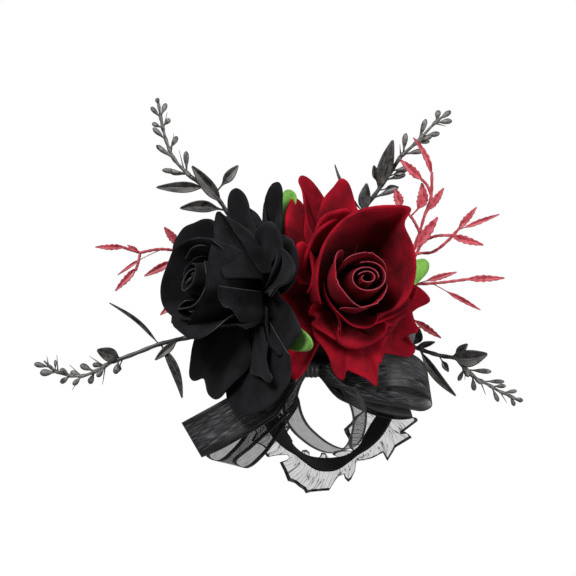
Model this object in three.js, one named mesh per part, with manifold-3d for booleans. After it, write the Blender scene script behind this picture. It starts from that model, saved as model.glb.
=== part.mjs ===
// A wrist corsage: a black and a dark red cloth rose with bud sprigs, red ferns and an organza
// ribbon bow, on an elastic wristlet with a gathered frill.
// The origin is the middle of the wrist loop, the wrist lies along Y and the flowers stand on +Z.
// The spray of flowers faces forward and up, so it is modelled in a frame of its own that is
// turned about X: there x is to the right, y is up the spray's face and z is out of it.
import * as THREE from "three";
import { mergeVertices } from "three/addons/utils/BufferGeometryUtils.js";
import Module from "manifold-3d";

const wasm = await Module();
wasm.setup();

// Driving dimensions, in millimetres.
const CLEARANCE = 0.3;
const SPRIG_CLEARANCE = 0.5;
const PICTURE_PIXEL = 0.375;

const WRIST_SPAN = 47;
const WRIST_RISE = 22;
const WRIST_DROP = 28;
const ELASTIC_WIDTH = 8;
const ELASTIC_THICKNESS = 1.2;
const ELASTIC_TOP_LENGTH = 28;
const FRILL_REACH = 8.5;
const FRILL_WAVE = 2.6;
const FRILL_THICKNESS = 0.7;

const LOWER_PAD_INSET = 0.5;
const LOWER_PAD_LENGTH = ELASTIC_TOP_LENGTH - 2 * LOWER_PAD_INSET;
const LOWER_PAD_WIDTH = 12;
const LOWER_PAD_THICKNESS = 1.5;
const UPPER_PAD_LENGTH = 40;
const UPPER_PAD_WIDTH = 26;
const UPPER_PAD_THICKNESS = 2;
const UPPER_PAD_BACK_SHIFT = 8;
const UPPER_PAD_SIDE_SHIFT = -4;

const BUNDLE_RADIUS = 4.5;
const BUNDLE_SIDE = -9;
const BUNDLE_FOOT_DEPTH = -2;
const BUNDLE_TOP_DEPTH = -8;
const BUNDLE_TOP_HEIGHT = 54;

const PETAL_LENGTH = 40;
const PETAL_WIDTH = 34;
const PETAL_THICKNESS = 1.1;
const HUB_RADIUS = 5;
const HUB_THICKNESS = 1.2;
const BUD_RADIUS = 5.6;
const BUD_HEIGHT = 19;
const BUD_PITCH = 2.1;
const CALYX_RADIUS = 6;
const CALYX_NECK_RADIUS = 3.2;
const CALYX_DEPTH = 7;
const SEPAL_LENGTH = 33;
const SEPAL_WIDTH = 12;
const SEPAL_THICKNESS = 1;
const ROSE_STEM_RADIUS = 1.6;

const SPRIG_STEM_RADIUS = 0.9;
const SPIKE_CORE_RADIUS = 0.55;
const BUD_CLUB_LENGTH = 5.4;
const BUD_CLUB_RADIUS = 1.15;
const LEAF_THICKNESS = 0.7;
const FERN_STEM_RADIUS = 0.65;
const FERN_BLADE_THICKNESS = 0.7;

const RIBBON_WIDTH = 15;
const RIBBON_THICKNESS = 0.8;
const TIE_RADIUS = 2.8;
const TIE_LENGTH = 8;
const TIE_CLEARANCE = 0.7;

// Angles, in degrees.
const FACE_TILT = 60;
const BAND_FLARE = 27;
const FRILL_FLARE = 52;
const FRILL_BACK_FLARE = 14;

// Counts.
const COLUMN_COUNT = 4;
const WIDE_COLUMN_COUNT = 4;
const NARROW_COLUMN_COUNT = 2;
const NARROW_PETAL_SHARE = 0.6;
const ROW_COUNTS = { last: 3, outer: 3, mid: 3, cup: 3, inner: 2 };
const CURVE_STEP_COUNT = 24;
const LOOP_STEP_COUNT = 14;
const WAVE_COUNT = 5;
const WAVE_STEP_COUNT = 4;
const CLUB_COUNT = 3;

// Places in the picture: across, down and, where there is a third number, forward, in pixels.
const LOOP_PIXEL = [327, 402];
const RED_ROSE_PIXEL = [341, 298, 30];
const BLACK_ROSE_PIXEL = [260, 292, 34];
const TIE_PIXEL = [312, 369, 49];

// Colours and finishes.
const finish = (color, roughness, metalness = 0) => new THREE.MeshStandardMaterial({
  color,
  roughness,
  metalness,
  side: THREE.DoubleSide,
});
const BLACK_VELVET = finish("#141416", 0.95);
const RED_VELVET = finish("#8e0f22", 0.9);
const GREEN_FELT = finish("#76b83a", 0.8);
const GREY_PLASTIC = finish("#3c3d40", 0.4);
const RED_PLASTIC = finish("#c23a46", 0.45);
const BLACK_ORGANZA = finish("#202022", 0.5);
const BLACK_ELASTIC = finish("#161616", 0.85);
const BLACK_FELT = finish("#1b1b1c", 1);
const GREEN_TAPE = finish("#2e4a26", 0.7);

const radians = THREE.MathUtils.degToRad;
const smooth = THREE.MathUtils.smoothstep;
const vector = (x, y, z) => new THREE.Vector3(x, y, z);

// The spray's frame: x right, y up the face, z out of the face.
const faceMatrix = new THREE.Matrix4().makeRotationX(radians(FACE_TILT));

function facePlace([u, v, depth]) {
  return vector(
    (u - LOOP_PIXEL[0]) * PICTURE_PIXEL,
    (LOOP_PIXEL[1] - v) * PICTURE_PIXEL,
    depth * PICTURE_PIXEL,
  );
}

// Solids.

function toSolid(geometry) {
  const bare = geometry.clone();
  bare.deleteAttribute("normal");
  bare.deleteAttribute("uv");
  const merged = mergeVertices(bare, CLEARANCE / 300);
  const triVerts = Uint32Array.from(merged.index.array);
  const places = merged.attributes.position;
  const corner = [vector(), vector(), vector()];
  let volume = 0;
  for (let first = 0; first < triVerts.length; first += 3) {
    corner.forEach((point, turn) => point.fromBufferAttribute(places, triVerts[first + turn]));
    volume += corner[0].dot(corner[1].clone().cross(corner[2]));
  }
  if (volume < 0) {
    for (let first = 0; first < triVerts.length; first += 3) {
      [triVerts[first], triVerts[first + 1]] = [triVerts[first + 1], triVerts[first]];
    }
  }
  return new wasm.Manifold(new wasm.Mesh({
    numProp: 3,
    vertProperties: Float32Array.from(places.array),
    triVerts,
  }));
}

function toGeometry(solid) {
  const mesh = solid.getMesh();
  const geometry = new THREE.BufferGeometry();
  geometry.setAttribute("position", new THREE.BufferAttribute(Float32Array.from(mesh.vertProperties), 3));
  geometry.setIndex(new THREE.BufferAttribute(Uint32Array.from(mesh.triVerts), 1));
  return geometry;
}

function placed(solid, matrix) {
  return toSolid(toGeometry(solid).applyMatrix4(matrix));
}

function joined(solids) {
  return solids.reduce((whole, solid) => whole.add(solid));
}

// The largest body of a solid that a cut may have left in several bodies.
function mainBody(solid) {
  const bodies = solid.decompose();
  return bodies.reduce((largest, body) => (body.volume() > largest.volume() ? body : largest));
}

function cutBy(solid, rooms) {
  return mainBody(rooms.reduce((rest, room) => rest.subtract(room), solid));
}

// A solid whose nearly equal corners are merged, without the crumbs that this may part from it.
function settled(solid) {
  return mainBody(toSolid(toGeometry(solid)));
}

// A closed sheet of the given thickness about a surface of u and v, both from 0 to 1.
function sheetSolid(surface, columns, rows, thickness) {
  const nudge = 1 / 512;
  const places = [];
  const half = thickness / 2;
  for (const side of [1, -1]) {
    for (let row = 0; row <= rows; row += 1) {
      for (let column = 0; column <= columns; column += 1) {
        const u = column / columns;
        const v = row / rows;
        const along = surface(Math.min(u + nudge, 1), v).sub(surface(Math.max(u - nudge, 0), v));
        const across = surface(u, Math.min(v + nudge, 1)).sub(surface(u, Math.max(v - nudge, 0)));
        const point = surface(u, v).addScaledVector(along.cross(across).normalize(), side * half);
        places.push(point.x, point.y, point.z);
      }
    }
  }
  const width = columns + 1;
  const layer = width * (rows + 1);
  const faces = [];
  const quad = (a, b, c, d) => faces.push(a, b, c, a, c, d);
  for (let row = 0; row < rows; row += 1) {
    for (let column = 0; column < columns; column += 1) {
      const corner = row * width + column;
      quad(corner, corner + 1, corner + 1 + width, corner + width);
      quad(layer + corner, layer + corner + width, layer + corner + 1 + width, layer + corner + 1);
    }
  }
  for (let column = 0; column < columns; column += 1) {
    const last = rows * width + column;
    quad(column + 1, column, layer + column, layer + column + 1);
    quad(last, last + 1, layer + last + 1, layer + last);
  }
  for (let row = 0; row < rows; row += 1) {
    const first = row * width;
    const last = first + columns;
    quad(first, first + width, layer + first + width, layer + first);
    quad(last + width, last, layer + last, layer + last + width);
  }
  const geometry = new THREE.BufferGeometry();
  geometry.setAttribute("position", new THREE.Float32BufferAttribute(places, 3));
  geometry.setIndex(faces);
  return toSolid(geometry);
}

function tubeSolid(points, radius, sides, steps) {
  const curve = points.length > 2
    ? new THREE.CatmullRomCurve3(points, false, "centripetal")
    : new THREE.LineCurve3(points[0], points[1]);
  const section = new THREE.Shape(Array.from({ length: sides }, (_, side) => new THREE.Vector2(
    radius * Math.cos((2 * Math.PI * side) / sides),
    radius * Math.sin((2 * Math.PI * side) / sides),
  )));
  return toSolid(new THREE.ExtrudeGeometry(section, { steps, extrudePath: curve }));
}

function turnedSolid(profile, sides, base, direction) {
  const points = profile.map(([radius, height]) => new THREE.Vector2(radius, height));
  const geometry = new THREE.LatheGeometry(points, sides);
  const turn = new THREE.Quaternion().setFromUnitVectors(vector(0, 1, 0), direction.clone().normalize());
  geometry.applyMatrix4(new THREE.Matrix4().compose(base, turn, vector(1, 1, 1)));
  return toSolid(geometry);
}

function ovalPad(length, width, thickness, middle) {
  const outline = new THREE.Shape().absellipse(middle.x, middle.y, length / 2, width / 2, 0, 2 * Math.PI);
  const geometry = new THREE.ExtrudeGeometry(outline, {
    depth: thickness,
    bevelEnabled: false,
    curveSegments: 9,
  });
  geometry.translate(0, 0, middle.z);
  return toSolid(geometry);
}

// Wristlet. The loop is a curve of t from 0 at the right end of the flat top, clockwise as the
// wearer sees it, down round the wrist to 1 at the left end.

const loopHalf = WRIST_SPAN / 2;
const flatHalf = ELASTIC_TOP_LENGTH / 2;
const CORNER_SHARE = 0.22;
const WAIST_POWER = 1.5;
const ROUND_START_ANGLE = 0.5;

function loopPoint(t) {
  const side = t < 0.5 ? 1 : -1;
  const way = t < 0.5 ? 2 * t : 2 - 2 * t;
  if (way < CORNER_SHARE) {
    const angle = (way / CORNER_SHARE) * (Math.PI / 2);
    return vector(side * (flatHalf + (loopHalf - flatHalf) * Math.sin(angle)), 0, WRIST_RISE * Math.cos(angle));
  }
  const angle = ((way - CORNER_SHARE) / (1 - CORNER_SHARE)) * (Math.PI / 2);
  const power = 2 / WAIST_POWER;
  const rounded = THREE.MathUtils.lerp(power, 1, smooth(angle, ROUND_START_ANGLE, Math.PI / 2));
  return vector(
    side * loopHalf * Math.max(Math.cos(angle), 0) ** rounded,
    0,
    -WRIST_DROP * Math.max(Math.sin(angle), 0) ** power,
  );
}

function loopOutward(t) {
  const nudge = 1 / 256;
  const before = loopPoint(Math.max(t - nudge, 0));
  const along = loopPoint(Math.min(t + nudge, 1)).sub(before);
  return vector(-along.z, 0, along.x).normalize();
}

// How far the band opens towards the front: none at the top and bottom, most at the sides.
function bandFlare(t) {
  return radians(BAND_FLARE) * Math.sin(Math.PI * Math.min(2 * t, 2 - 2 * t)) ** 2;
}

function bandPoint(t, across, outward) {
  const out = loopOutward(t);
  const flare = bandFlare(t);
  const forward = vector(0, -Math.cos(flare), 0).addScaledVector(out, Math.sin(flare));
  const normal = out.clone().multiplyScalar(Math.cos(flare)).add(vector(0, Math.sin(flare), 0));
  return loopPoint(t).addScaledVector(forward, across).addScaledVector(normal, outward);
}

const SIDE_END = 0.34;
const endGap = CLEARANCE / (WRIST_SPAN + 2 * (WRIST_DROP + WRIST_RISE));

function elasticStretch(from, to, steps) {
  const surface = (u, v) => bandPoint(from + (to - from) * u, (v - 1 / 2) * ELASTIC_WIDTH, 0);
  return sheetSolid(surface, steps, 1, ELASTIC_THICKNESS);
}

// The frill is sewn flat along the outside of the elastic, and its two free edges stand out in
// waves. The waves grow from the seam to the edge.
const frillSeat = ELASTIC_THICKNESS / 2 + CLEARANCE + FRILL_THICKNESS / 2;
const frillFullShares = [0.75, 1, 0.85, 1, 0.7, 1.05, 1, 0.8, 1.15, 1, 1.2, 0.8, 1];

function frillFullness(t) {
  const place = t * (frillFullShares.length - 1);
  const low = Math.min(Math.floor(place), frillFullShares.length - 2);
  return THREE.MathUtils.lerp(frillFullShares[low], frillFullShares[low + 1], place - low);
}

function frillPoint(t, v) {
  const reach = (2 * v - 1) * (ELASTIC_WIDTH / 2 + FRILL_REACH * frillFullness(1 - t));
  const seam = ELASTIC_WIDTH / 2;
  const free = Math.max(Math.abs(reach) - seam, 0);
  const side = Math.sign(reach);
  const wave = Math.sin(2 * Math.PI * (3 * WAVE_COUNT) * t + side) * FRILL_WAVE * (free / FRILL_REACH);
  const flare = radians(side > 0 ? FRILL_FLARE : FRILL_BACK_FLARE);
  const across = side * (Math.min(Math.abs(reach), seam) + free * Math.cos(flare));
  return bandPoint(t, across, frillSeat + free * Math.sin(flare) + Math.max(wave, -free * Math.sin(flare)));
}

function frillStretch(from, to) {
  const surface = (u, v) => frillPoint(from + (to - from) * u, v);
  const steps = Math.round((to - from) * 3 * WAVE_COUNT * WAVE_STEP_COUNT);
  return sheetSolid(surface, steps, 3, FRILL_THICKNESS);
}

const elasticTopSurface = (u, v) => vector(
  (u - 1 / 2) * (ELASTIC_TOP_LENGTH - 2 * CLEARANCE),
  (v - 1 / 2) * ELASTIC_WIDTH,
  WRIST_RISE,
);
const lowerPadFloor = WRIST_RISE - ELASTIC_THICKNESS / 2 - CLEARANCE - LOWER_PAD_THICKNESS;
const upperPadFloor = WRIST_RISE + ELASTIC_THICKNESS / 2 + CLEARANCE;
const upperPadTop = upperPadFloor + UPPER_PAD_THICKNESS;
const padSide = vector(UPPER_PAD_SIDE_SHIFT, UPPER_PAD_BACK_SHIFT, upperPadFloor);

const wristlet = {
  elastic_top: [sheetSolid(elasticTopSurface, 1, 1, ELASTIC_THICKNESS), BLACK_ELASTIC],
  elastic_side_right: [elasticStretch(0, SIDE_END - endGap, 7), BLACK_ELASTIC],
  elastic_bottom: [elasticStretch(SIDE_END, 1 - SIDE_END, 7), BLACK_ELASTIC],
  elastic_side_left: [elasticStretch(1 - SIDE_END + endGap, 1, 7), BLACK_ELASTIC],
  frill_right: [frillStretch(CORNER_SHARE / 2, SIDE_END - endGap), BLACK_ORGANZA],
  frill_bottom: [frillStretch(SIDE_END, 1 - SIDE_END), BLACK_ORGANZA],
  frill_left: [frillStretch(1 - SIDE_END + endGap, 1 - CORNER_SHARE / 2), BLACK_ORGANZA],
  felt_pad_lower: [
    ovalPad(LOWER_PAD_LENGTH, LOWER_PAD_WIDTH, LOWER_PAD_THICKNESS, vector(0, 0, lowerPadFloor)),
    BLACK_FELT,
  ],
  felt_pad_upper: [ovalPad(UPPER_PAD_LENGTH, UPPER_PAD_WIDTH, UPPER_PAD_THICKNESS, padSide), BLACK_FELT],
};

// Stem bundle, in the spray's frame. It stands on the upper pad and leans back with the spray.

function bundlePoint(share) {
  return vector(
    BUNDLE_SIDE,
    THREE.MathUtils.lerp(WRIST_RISE, BUNDLE_TOP_HEIGHT, share),
    THREE.MathUtils.lerp(BUNDLE_FOOT_DEPTH, BUNDLE_TOP_DEPTH, share),
  );
}

function abovePad() {
  const size = 4 * BUNDLE_TOP_HEIGHT;
  const block = new THREE.BoxGeometry(size, size, size);
  block.translate(0, 0, upperPadTop + CLEARANCE + size / 2);
  block.applyMatrix4(faceMatrix.clone().invert());
  return toSolid(block);
}

const bundleBody = tubeSolid([bundlePoint(0), bundlePoint(1)], BUNDLE_RADIUS, 8, 1)
  .intersect(abovePad());

// A place on the bundle's skin at the given share of its height, on the side that faces a target.
function bundleSkin(share, target, gap) {
  const middle = bundlePoint(share);
  const way = target.clone().sub(middle);
  way.y = 0;
  return middle.addScaledVector(way.normalize(), BUNDLE_RADIUS + gap);
}

// Petals. A petal's middle line starts on its hub and leans away from the rose's axis by angles
// that change from the foot to the tip. Its section cups round the axis and its edges roll back
// outside of a fold, which moves to the middle at the tip.

const FLARE_START_SHARE = 0.7;

function leanAt(lean, flare, v) {
  const bent = (1 - v) ** 2 * lean[0] + 2 * v * (1 - v) * lean[1] + v ** 2 * lean[2];
  return radians(bent + flare * smooth(v, FLARE_START_SHARE, 1));
}

function petalMiddle(lean, flare, length, foot, v) {
  let radius = foot.x;
  let height = foot.y;
  const step = v / CURVE_STEP_COUNT;
  for (let index = 0; index < CURVE_STEP_COUNT; index += 1) {
    const angle = leanAt(lean, flare, (index + 1 / 2) * step);
    radius += Math.sin(angle) * length * step;
    height += Math.cos(angle) * length * step;
  }
  return new THREE.Vector2(radius, height);
}

const FOOT_WIDTH_SHARE = 0.3;
const TIP_WIDTH_SHARE = 0.1;
const WIDEST_SHARE = 0.58;
const ROLL_START_SHARE = 0.35;
const TIP_FOLD_START_SHARE = 0.6;
const TIP_FOLD_SHARE = 0.16;

function petalWidthShare(v, point) {
  if (v < WIDEST_SHARE) {
    return FOOT_WIDTH_SHARE + (1 - FOOT_WIDTH_SHARE) * Math.sin((Math.PI / 2) * (v / WIDEST_SHARE));
  }
  const rest = (v - WIDEST_SHARE) / (1 - WIDEST_SHARE);
  return TIP_WIDTH_SHARE + (1 - TIP_WIDTH_SHARE) * Math.max(1 - rest ** 2, 0) ** point;
}

function petalSurface(spec, hubHeight) {
  const { turn, lengthShare, widthShare, lean, cup, roll, point, skew, flare, hem } = spec;
  const length = PETAL_LENGTH * lengthShare;
  const foot = new THREE.Vector2(HUB_RADIUS - 2 * HUB_THICKNESS, hubHeight + HUB_THICKNESS / 2);
  const azimuth = radians(turn);
  const outward = vector(Math.cos(azimuth), Math.sin(azimuth), 0);
  const sideways = vector(-Math.sin(azimuth), Math.cos(azimuth), 0);
  return (u, v) => {
    const middle = petalMiddle(lean, flare, length, foot, v);
    const angle = leanAt(lean, flare, v);
    const half = (PETAL_WIDTH * widthShare * petalWidthShare(v, point)) / 2;
    const across = 2 * u - 1;
    const edgeCup = (cup * half) / Math.max(middle.x, HUB_RADIUS);
    const edgeRoll = radians(roll) * smooth(v, ROLL_START_SHARE, 1);
    const fold = THREE.MathUtils.lerp(hem, hem * TIP_FOLD_SHARE, smooth(v, TIP_FOLD_START_SHARE, 1));
    let along = 0;
    let inward = 0;
    const steps = 12;
    for (let index = 0; index < steps; index += 1) {
      const share = (Math.abs(across) * (index + 1 / 2)) / steps;
      const rolled = (Math.max(share - fold, 0) / (1 - fold)) * edgeRoll;
      const bend = edgeCup * share - rolled + Math.sign(across) * radians(skew) * smooth(v, 0, 1 / 2);
      along += (Math.cos(bend) * Math.abs(across) * half) / steps;
      inward += (Math.sin(bend) * Math.abs(across) * half) / steps;
    }
    return outward.clone()
      .multiplyScalar(middle.x - inward * Math.cos(angle))
      .addScaledVector(sideways, Math.sign(across) * along)
      .add(vector(0, 0, middle.y + inward * Math.sin(angle)));
  };
}

// Leans of the kinds of petal, from the foot to the tip, in degrees off the rose's axis.
const INNER_LEAN = [72, -26, 12];
const CUP_LEAN = [76, -18, 30];
const HOLLOW_LEAN = [80, -30, 12];
const WRAP_LEAN = [80, 0, 14];
const FACING_LEAN = [80, 24, 44];
const MID_LEAN = [82, 12, 62];
const OUTER_LEAN = [86, 44, 88];
const LOW_LEAN = [88, 42, 86];
const LAST_LEAN = [92, 70, 112];
const UPRIGHT_LEAN = [84, 20, 30];

function petal(turn, lengthShare, widthShare, lean, cup, roll, point = 0.7, skew = 8, flare = 0, hem = 0.5) {
  return { turn, lengthShare, widthShare, lean, cup, roll, point, skew, flare, hem };
}

const redLayers = {
  inner: [
    petal(192, 0.78, 0.95, INNER_LEAN, 0.95, 24, 0.6),
    petal(320, 0.62, 0.66, INNER_LEAN, 0.95, 14, 0.5),
    petal(85, 0.56, 0.6, INNER_LEAN, 0.95, 22, 0.5),
  ],
  cup: [
    petal(56, 1.13, 1.94, HOLLOW_LEAN, 1.15, 70, 1.2, 5, 66, 0.86),
    petal(206, 0.74, 1.1, CUP_LEAN, 1, 80, 0.7, 5, 10, 0.84),
    petal(292, 0.7, 1.15, CUP_LEAN, 1, 80, 0.7, 5, 10, 0.84),
  ],
  mid: [
    petal(120, 0.84, 0.8, MID_LEAN, 0.6, 190, 0.8),
    petal(172, 0.66, 0.55, MID_LEAN, 0.6, 190, 1),
    petal(222, 0.74, 0.6, MID_LEAN, 0.6, 180, 1.1, 8, 30),
    petal(292, 0.56, 1, MID_LEAN, 0.6, 150, 1.1, 8, 30),
    petal(345, 0.68, 0.9, MID_LEAN, 0.6, 150, 1.1, 8, 30),
  ],
  outer: [
    petal(90, 1.02, 0.66, OUTER_LEAN, 0.3, 150, 1.2),
    petal(146, 0.88, 0.4, UPRIGHT_LEAN, 0.3, 150, 0.8),
    petal(196, 0.78, 0.5, OUTER_LEAN, 0.3, 170, 1),
    petal(236, 0.8, 0.6, OUTER_LEAN, 0.3, 150, 1.3),
    petal(-81, 0.86, 0.8, OUTER_LEAN, 0.3, 150, 1.3),
    petal(-8, 0.76, 0.7, OUTER_LEAN, 0.3, 150, 1.3),
  ],
  last: [
    petal(104, 1.15, 0.36, LAST_LEAN, 0.1, 120, 0.7),
    petal(122, 0.98, 0.5, LOW_LEAN, 0.1, 110, 0.6),
    petal(172, 0.8, 0.5, OUTER_LEAN, 0.1, 150, 1),
    petal(235, 0.95, 0.5, LOW_LEAN, 0.1, 140, 1),
    petal(-46, 0.84, 0.85, LOW_LEAN, 0.1, 140, 1.3),
    petal(-103, 0.82, 0.7, LOW_LEAN, 0.1, 140, 1.3),
    petal(30, 0.72, 0.8, LAST_LEAN, 0.1, 120, 1.2),
  ],
};

const blackLayers = {
  inner: [
    petal(30, 0.6, 0.66, INNER_LEAN, 0.95, 14, 0.5),
    petal(150, 0.6, 0.66, INNER_LEAN, 0.95, 14, 0.5),
    petal(270, 0.6, 0.66, INNER_LEAN, 0.95, 14, 0.5),
  ],
  cup: [
    petal(180, 0.8, 1.2, CUP_LEAN, 1, 80, 0.6, 5, 0, 0.84),
    petal(300, 0.8, 1.3, CUP_LEAN, 1, 80, 0.6, 5, 0, 0.84),
    petal(60, 0.8, 1.3, CUP_LEAN, 1, 80, 0.6, 5, 0, 0.84),
  ],
  mid: [
    petal(68, 0.98, 1.2, FACING_LEAN, 0.6, 70, 0.7, 8, 0, 0.7),
    petal(-56, 1.04, 1.2, WRAP_LEAN, 0.8, 60, 0.8, 8, 0, 0.7),
    petal(125, 0.84, 1.05, CUP_LEAN, 0.8, 65),
    petal(235, 0.84, 1.1, CUP_LEAN, 0.7, 70),
  ],
  outer: [
    petal(97, 0.94, 0.42, OUTER_LEAN, 0.3, 110, 0.6),
    petal(42, 0.92, 0.66, OUTER_LEAN, 0.3, 120, 0.6),
    petal(4, 0.94, 0.85, OUTER_LEAN, 0.3, 130, 0.7),
    petal(-34, 1, 0.8, OUTER_LEAN, 0.3, 130, 0.7),
    petal(-68, 1, 0.5, OUTER_LEAN, 0.3, 130, 0.7),
    petal(-108, 0.98, 1.1, OUTER_LEAN, 0.3, 50, 0.8),
    petal(170, 0.75, 0.95, UPRIGHT_LEAN, 0.3, 75, 0.9),
  ],
  last: [
    petal(80, 0.98, 0.32, LAST_LEAN, 0.1, 110, 0.6),
    petal(22, 1, 0.8, LOW_LEAN, 0.1, 130, 0.8),
    petal(-20, 1.04, 0.8, LOW_LEAN, 0.1, 130, 0.8),
    petal(-56, 1, 0.7, LOW_LEAN, 0.1, 130, 0.8),
    petal(-86, 1, 0.9, LOW_LEAN, 0.1, 90, 0.9),
    petal(140, 0.7, 0.9, LOW_LEAN, 0.1, 75, 0.9),
  ],
};

const LAYER_ORDER = ["last", "outer", "mid", "cup", "inner"];
const layerStep = HUB_THICKNESS + CLEARANCE;

function layerHeight(layer) {
  return LAYER_ORDER.indexOf(layer) * layerStep;
}

// A petal's solid, grown by a margin on every side along its own curves.
function petalSheet(spec, layer, margin) {
  const widthGrowth = 1 + (2 * margin) / (PETAL_WIDTH * spec.widthShare);
  const lengthGrowth = 1 + margin / (PETAL_LENGTH * spec.lengthShare);
  const surface = petalSurface(spec, layerHeight(layer));
  const grown = (u, v) => surface(1 / 2 + (u - 1 / 2) * widthGrowth, v * lengthGrowth);
  let columns = spec.widthShare > NARROW_PETAL_SHARE ? COLUMN_COUNT : NARROW_COLUMN_COUNT;
  columns = spec.cup < 1 ? columns : WIDE_COLUMN_COUNT;
  return sheetSolid(grown, columns, ROW_COUNTS[layer], PETAL_THICKNESS + 2 * margin);
}

function disc(radius, low, high) {
  const profile = [[0, low], [radius, low], [radius, high], [0, high]];
  return turnedSolid(profile, 8, vector(), vector(0, 0, 1));
}

// The space that a layer takes with its clearance all round.
function layerRoom(specs, layer) {
  const low = layerHeight(layer);
  const hub = disc(HUB_RADIUS + CLEARANCE, low - CLEARANCE, low + HUB_THICKNESS + CLEARANCE);
  return joined([hub, ...specs.map((spec) => petalSheet(spec, layer, CLEARANCE))]);
}

function petalLayer(specs, layer) {
  const low = layerHeight(layer);
  const hub = disc(HUB_RADIUS, low, low + HUB_THICKNESS);
  return joined([hub, ...specs.map((spec) => petalSheet(spec, layer, 0))]);
}

// The bud is one strip rolled up from the middle.
const BUD_TURNS = 1.75;
const budFloor = LAYER_ORDER.length * layerStep;

function budSolid() {
  const surface = (u, v) => {
    const angle = 2 * Math.PI * BUD_TURNS * u;
    const swell = 1 - (1 / 4) * (2 * v - 1) ** 2;
    const radius = (BUD_RADIUS - BUD_PITCH * BUD_TURNS * (1 - u)) * swell;
    return vector(radius * Math.cos(angle), radius * Math.sin(angle), budFloor + v * BUD_HEIGHT);
  };
  return sheetSolid(surface, 12, 2, PETAL_THICKNESS);
}

// The calyx is a cone below the petals with five sepals.
function sepalSurface({ turn, lengthShare, lean }) {
  const azimuth = radians(turn);
  const outward = vector(Math.cos(azimuth), Math.sin(azimuth), 0);
  const sideways = vector(-Math.sin(azimuth), Math.cos(azimuth), 0);
  const foot = new THREE.Vector2(CALYX_NECK_RADIUS, -CLEARANCE - SEPAL_THICKNESS);
  return (u, v) => {
    const middle = petalMiddle(lean, 0, SEPAL_LENGTH * lengthShare, foot, v);
    const half = (SEPAL_WIDTH / 2) * (1 / 2 + 1 / 2 * Math.sin(Math.PI * Math.min(v + 1 / 4, 1))) * (1 - v ** 3 * (1 - 1 / 5));
    return outward.clone().multiplyScalar(middle.x).addScaledVector(sideways, (2 * u - 1) * half)
      .add(vector(0, 0, middle.y));
  };
}

function calyxSolid(sepals) {
  const cone = turnedSolid([
    [0, -CLEARANCE - CALYX_DEPTH],
    [CALYX_NECK_RADIUS, -CLEARANCE - CALYX_DEPTH],
    [CALYX_RADIUS, -CLEARANCE],
    [0, -CLEARANCE],
  ], 8, vector(), vector(0, 0, 1));
  return joined([cone, ...sepals.map((spec) => sheetSolid(sepalSurface(spec), 2, 3, SEPAL_THICKNESS))]);
}

const sepal = (turn, lengthShare, lean = [98, 92, 80]) => ({ turn, lengthShare, lean });
const redSepals = [
  sepal(24, 1.12, [98, 84, 66]),
  sepal(100, 0.8),
  sepal(190, 0.6),
  sepal(270, 0.5, [90, 70, 65]),
];
const blackSepals = [
  sepal(75, 1.1, [100, 100, 90]),
  sepal(-32, 1.12, [96, 102, 98]),
  sepal(-125, 0.85, [95, 50, 20]),
  sepal(160, 0.7),
];

// Builds one rose in its own frame, where z is the rose's axis and the lowest hub lies at 0.
function roseSolids(layers, sepals) {
  const solids = { bud: budSolid() };
  const budTop = budFloor + BUD_HEIGHT + CLEARANCE;
  let rooms = [disc(BUD_RADIUS + PETAL_THICKNESS / 2 + CLEARANCE, budFloor - CLEARANCE, budTop)];
  for (const layer of [...LAYER_ORDER].reverse()) {
    solids[layer] = cutBy(petalLayer(layers[layer], layer), rooms);
    rooms = [...rooms, layerRoom(layers[layer], layer).add(solids[layer])];
  }
  solids.calyx = cutBy(calyxSolid(sepals), rooms.slice(-3));
  return { solids, rooms };
}

function roseMatrix(basePixel, sideTurn, upTurn) {
  const turn = new THREE.Euler(radians(-upTurn), radians(sideTurn), 0, "YXZ");
  return new THREE.Matrix4().compose(
    facePlace(basePixel),
    new THREE.Quaternion().setFromEuler(turn),
    vector(1, 1, 1),
  );
}

const redMatrix = roseMatrix(RED_ROSE_PIXEL, 16, 15);
const blackMatrix = roseMatrix(BLACK_ROSE_PIXEL, -60, 5);
const redRose = roseSolids(redLayers, redSepals);
const blackRose = roseSolids(blackLayers, blackSepals);

// Both roses in the spray's frame. The black rose lies in front where they meet.
const inFace = (solids, matrix) => Object.fromEntries(
  Object.entries(solids).map(([name, solid]) => [name, mainBody(placed(solid, matrix))]),
);
const blackSolids = inFace(blackRose.solids, blackMatrix);
const blackRooms = blackRose.rooms.slice(-3).map((room) => placed(room, blackMatrix));
const redSolids = inFace(redRose.solids, redMatrix);
const redRooms = redRose.rooms.slice(-3).map((room) => placed(room, redMatrix));
for (const layer of ["mid", "outer", "last", "calyx"]) {
  redSolids[layer] = settled(cutBy(redSolids[layer], blackRooms));
}
blackSolids.calyx = settled(cutBy(blackSolids.calyx, [...redRooms, redSolids.last]));

// The wire stem that joins a rose's calyx to the bundle.
function roseStem(matrix, rootShare) {
  const neck = vector(0, 0, -2 * CLEARANCE - CALYX_DEPTH).applyMatrix4(matrix);
  const below = vector(0, 0, -2 * CLEARANCE - CALYX_DEPTH - 2 * ROSE_STEM_RADIUS).applyMatrix4(matrix);
  const skin = bundleSkin(rootShare, neck, CLEARANCE);
  return tubeSolid([neck, below, skin], ROSE_STEM_RADIUS, 6, 4);
}

const roses = {
  rose_black_stem: [roseStem(blackMatrix, 0.5625), GREEN_TAPE],
  rose_red_stem: [roseStem(redMatrix, 0.4375), GREEN_TAPE],
};
const NODE_NAMES = {
  bud: "bud",
  inner: "inner_petals",
  cup: "cup_petals",
  mid: "middle_petals",
  outer: "outer_petals",
  last: "lowest_petals",
  calyx: "calyx",
};
for (const [part, name] of Object.entries(NODE_NAMES)) {
  roses[`rose_black_${name}`] = [blackSolids[part], part === "calyx" ? GREEN_FELT : BLACK_VELVET];
  roses[`rose_red_${name}`] = [redSolids[part], part === "calyx" ? GREEN_FELT : RED_VELVET];
}

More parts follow.
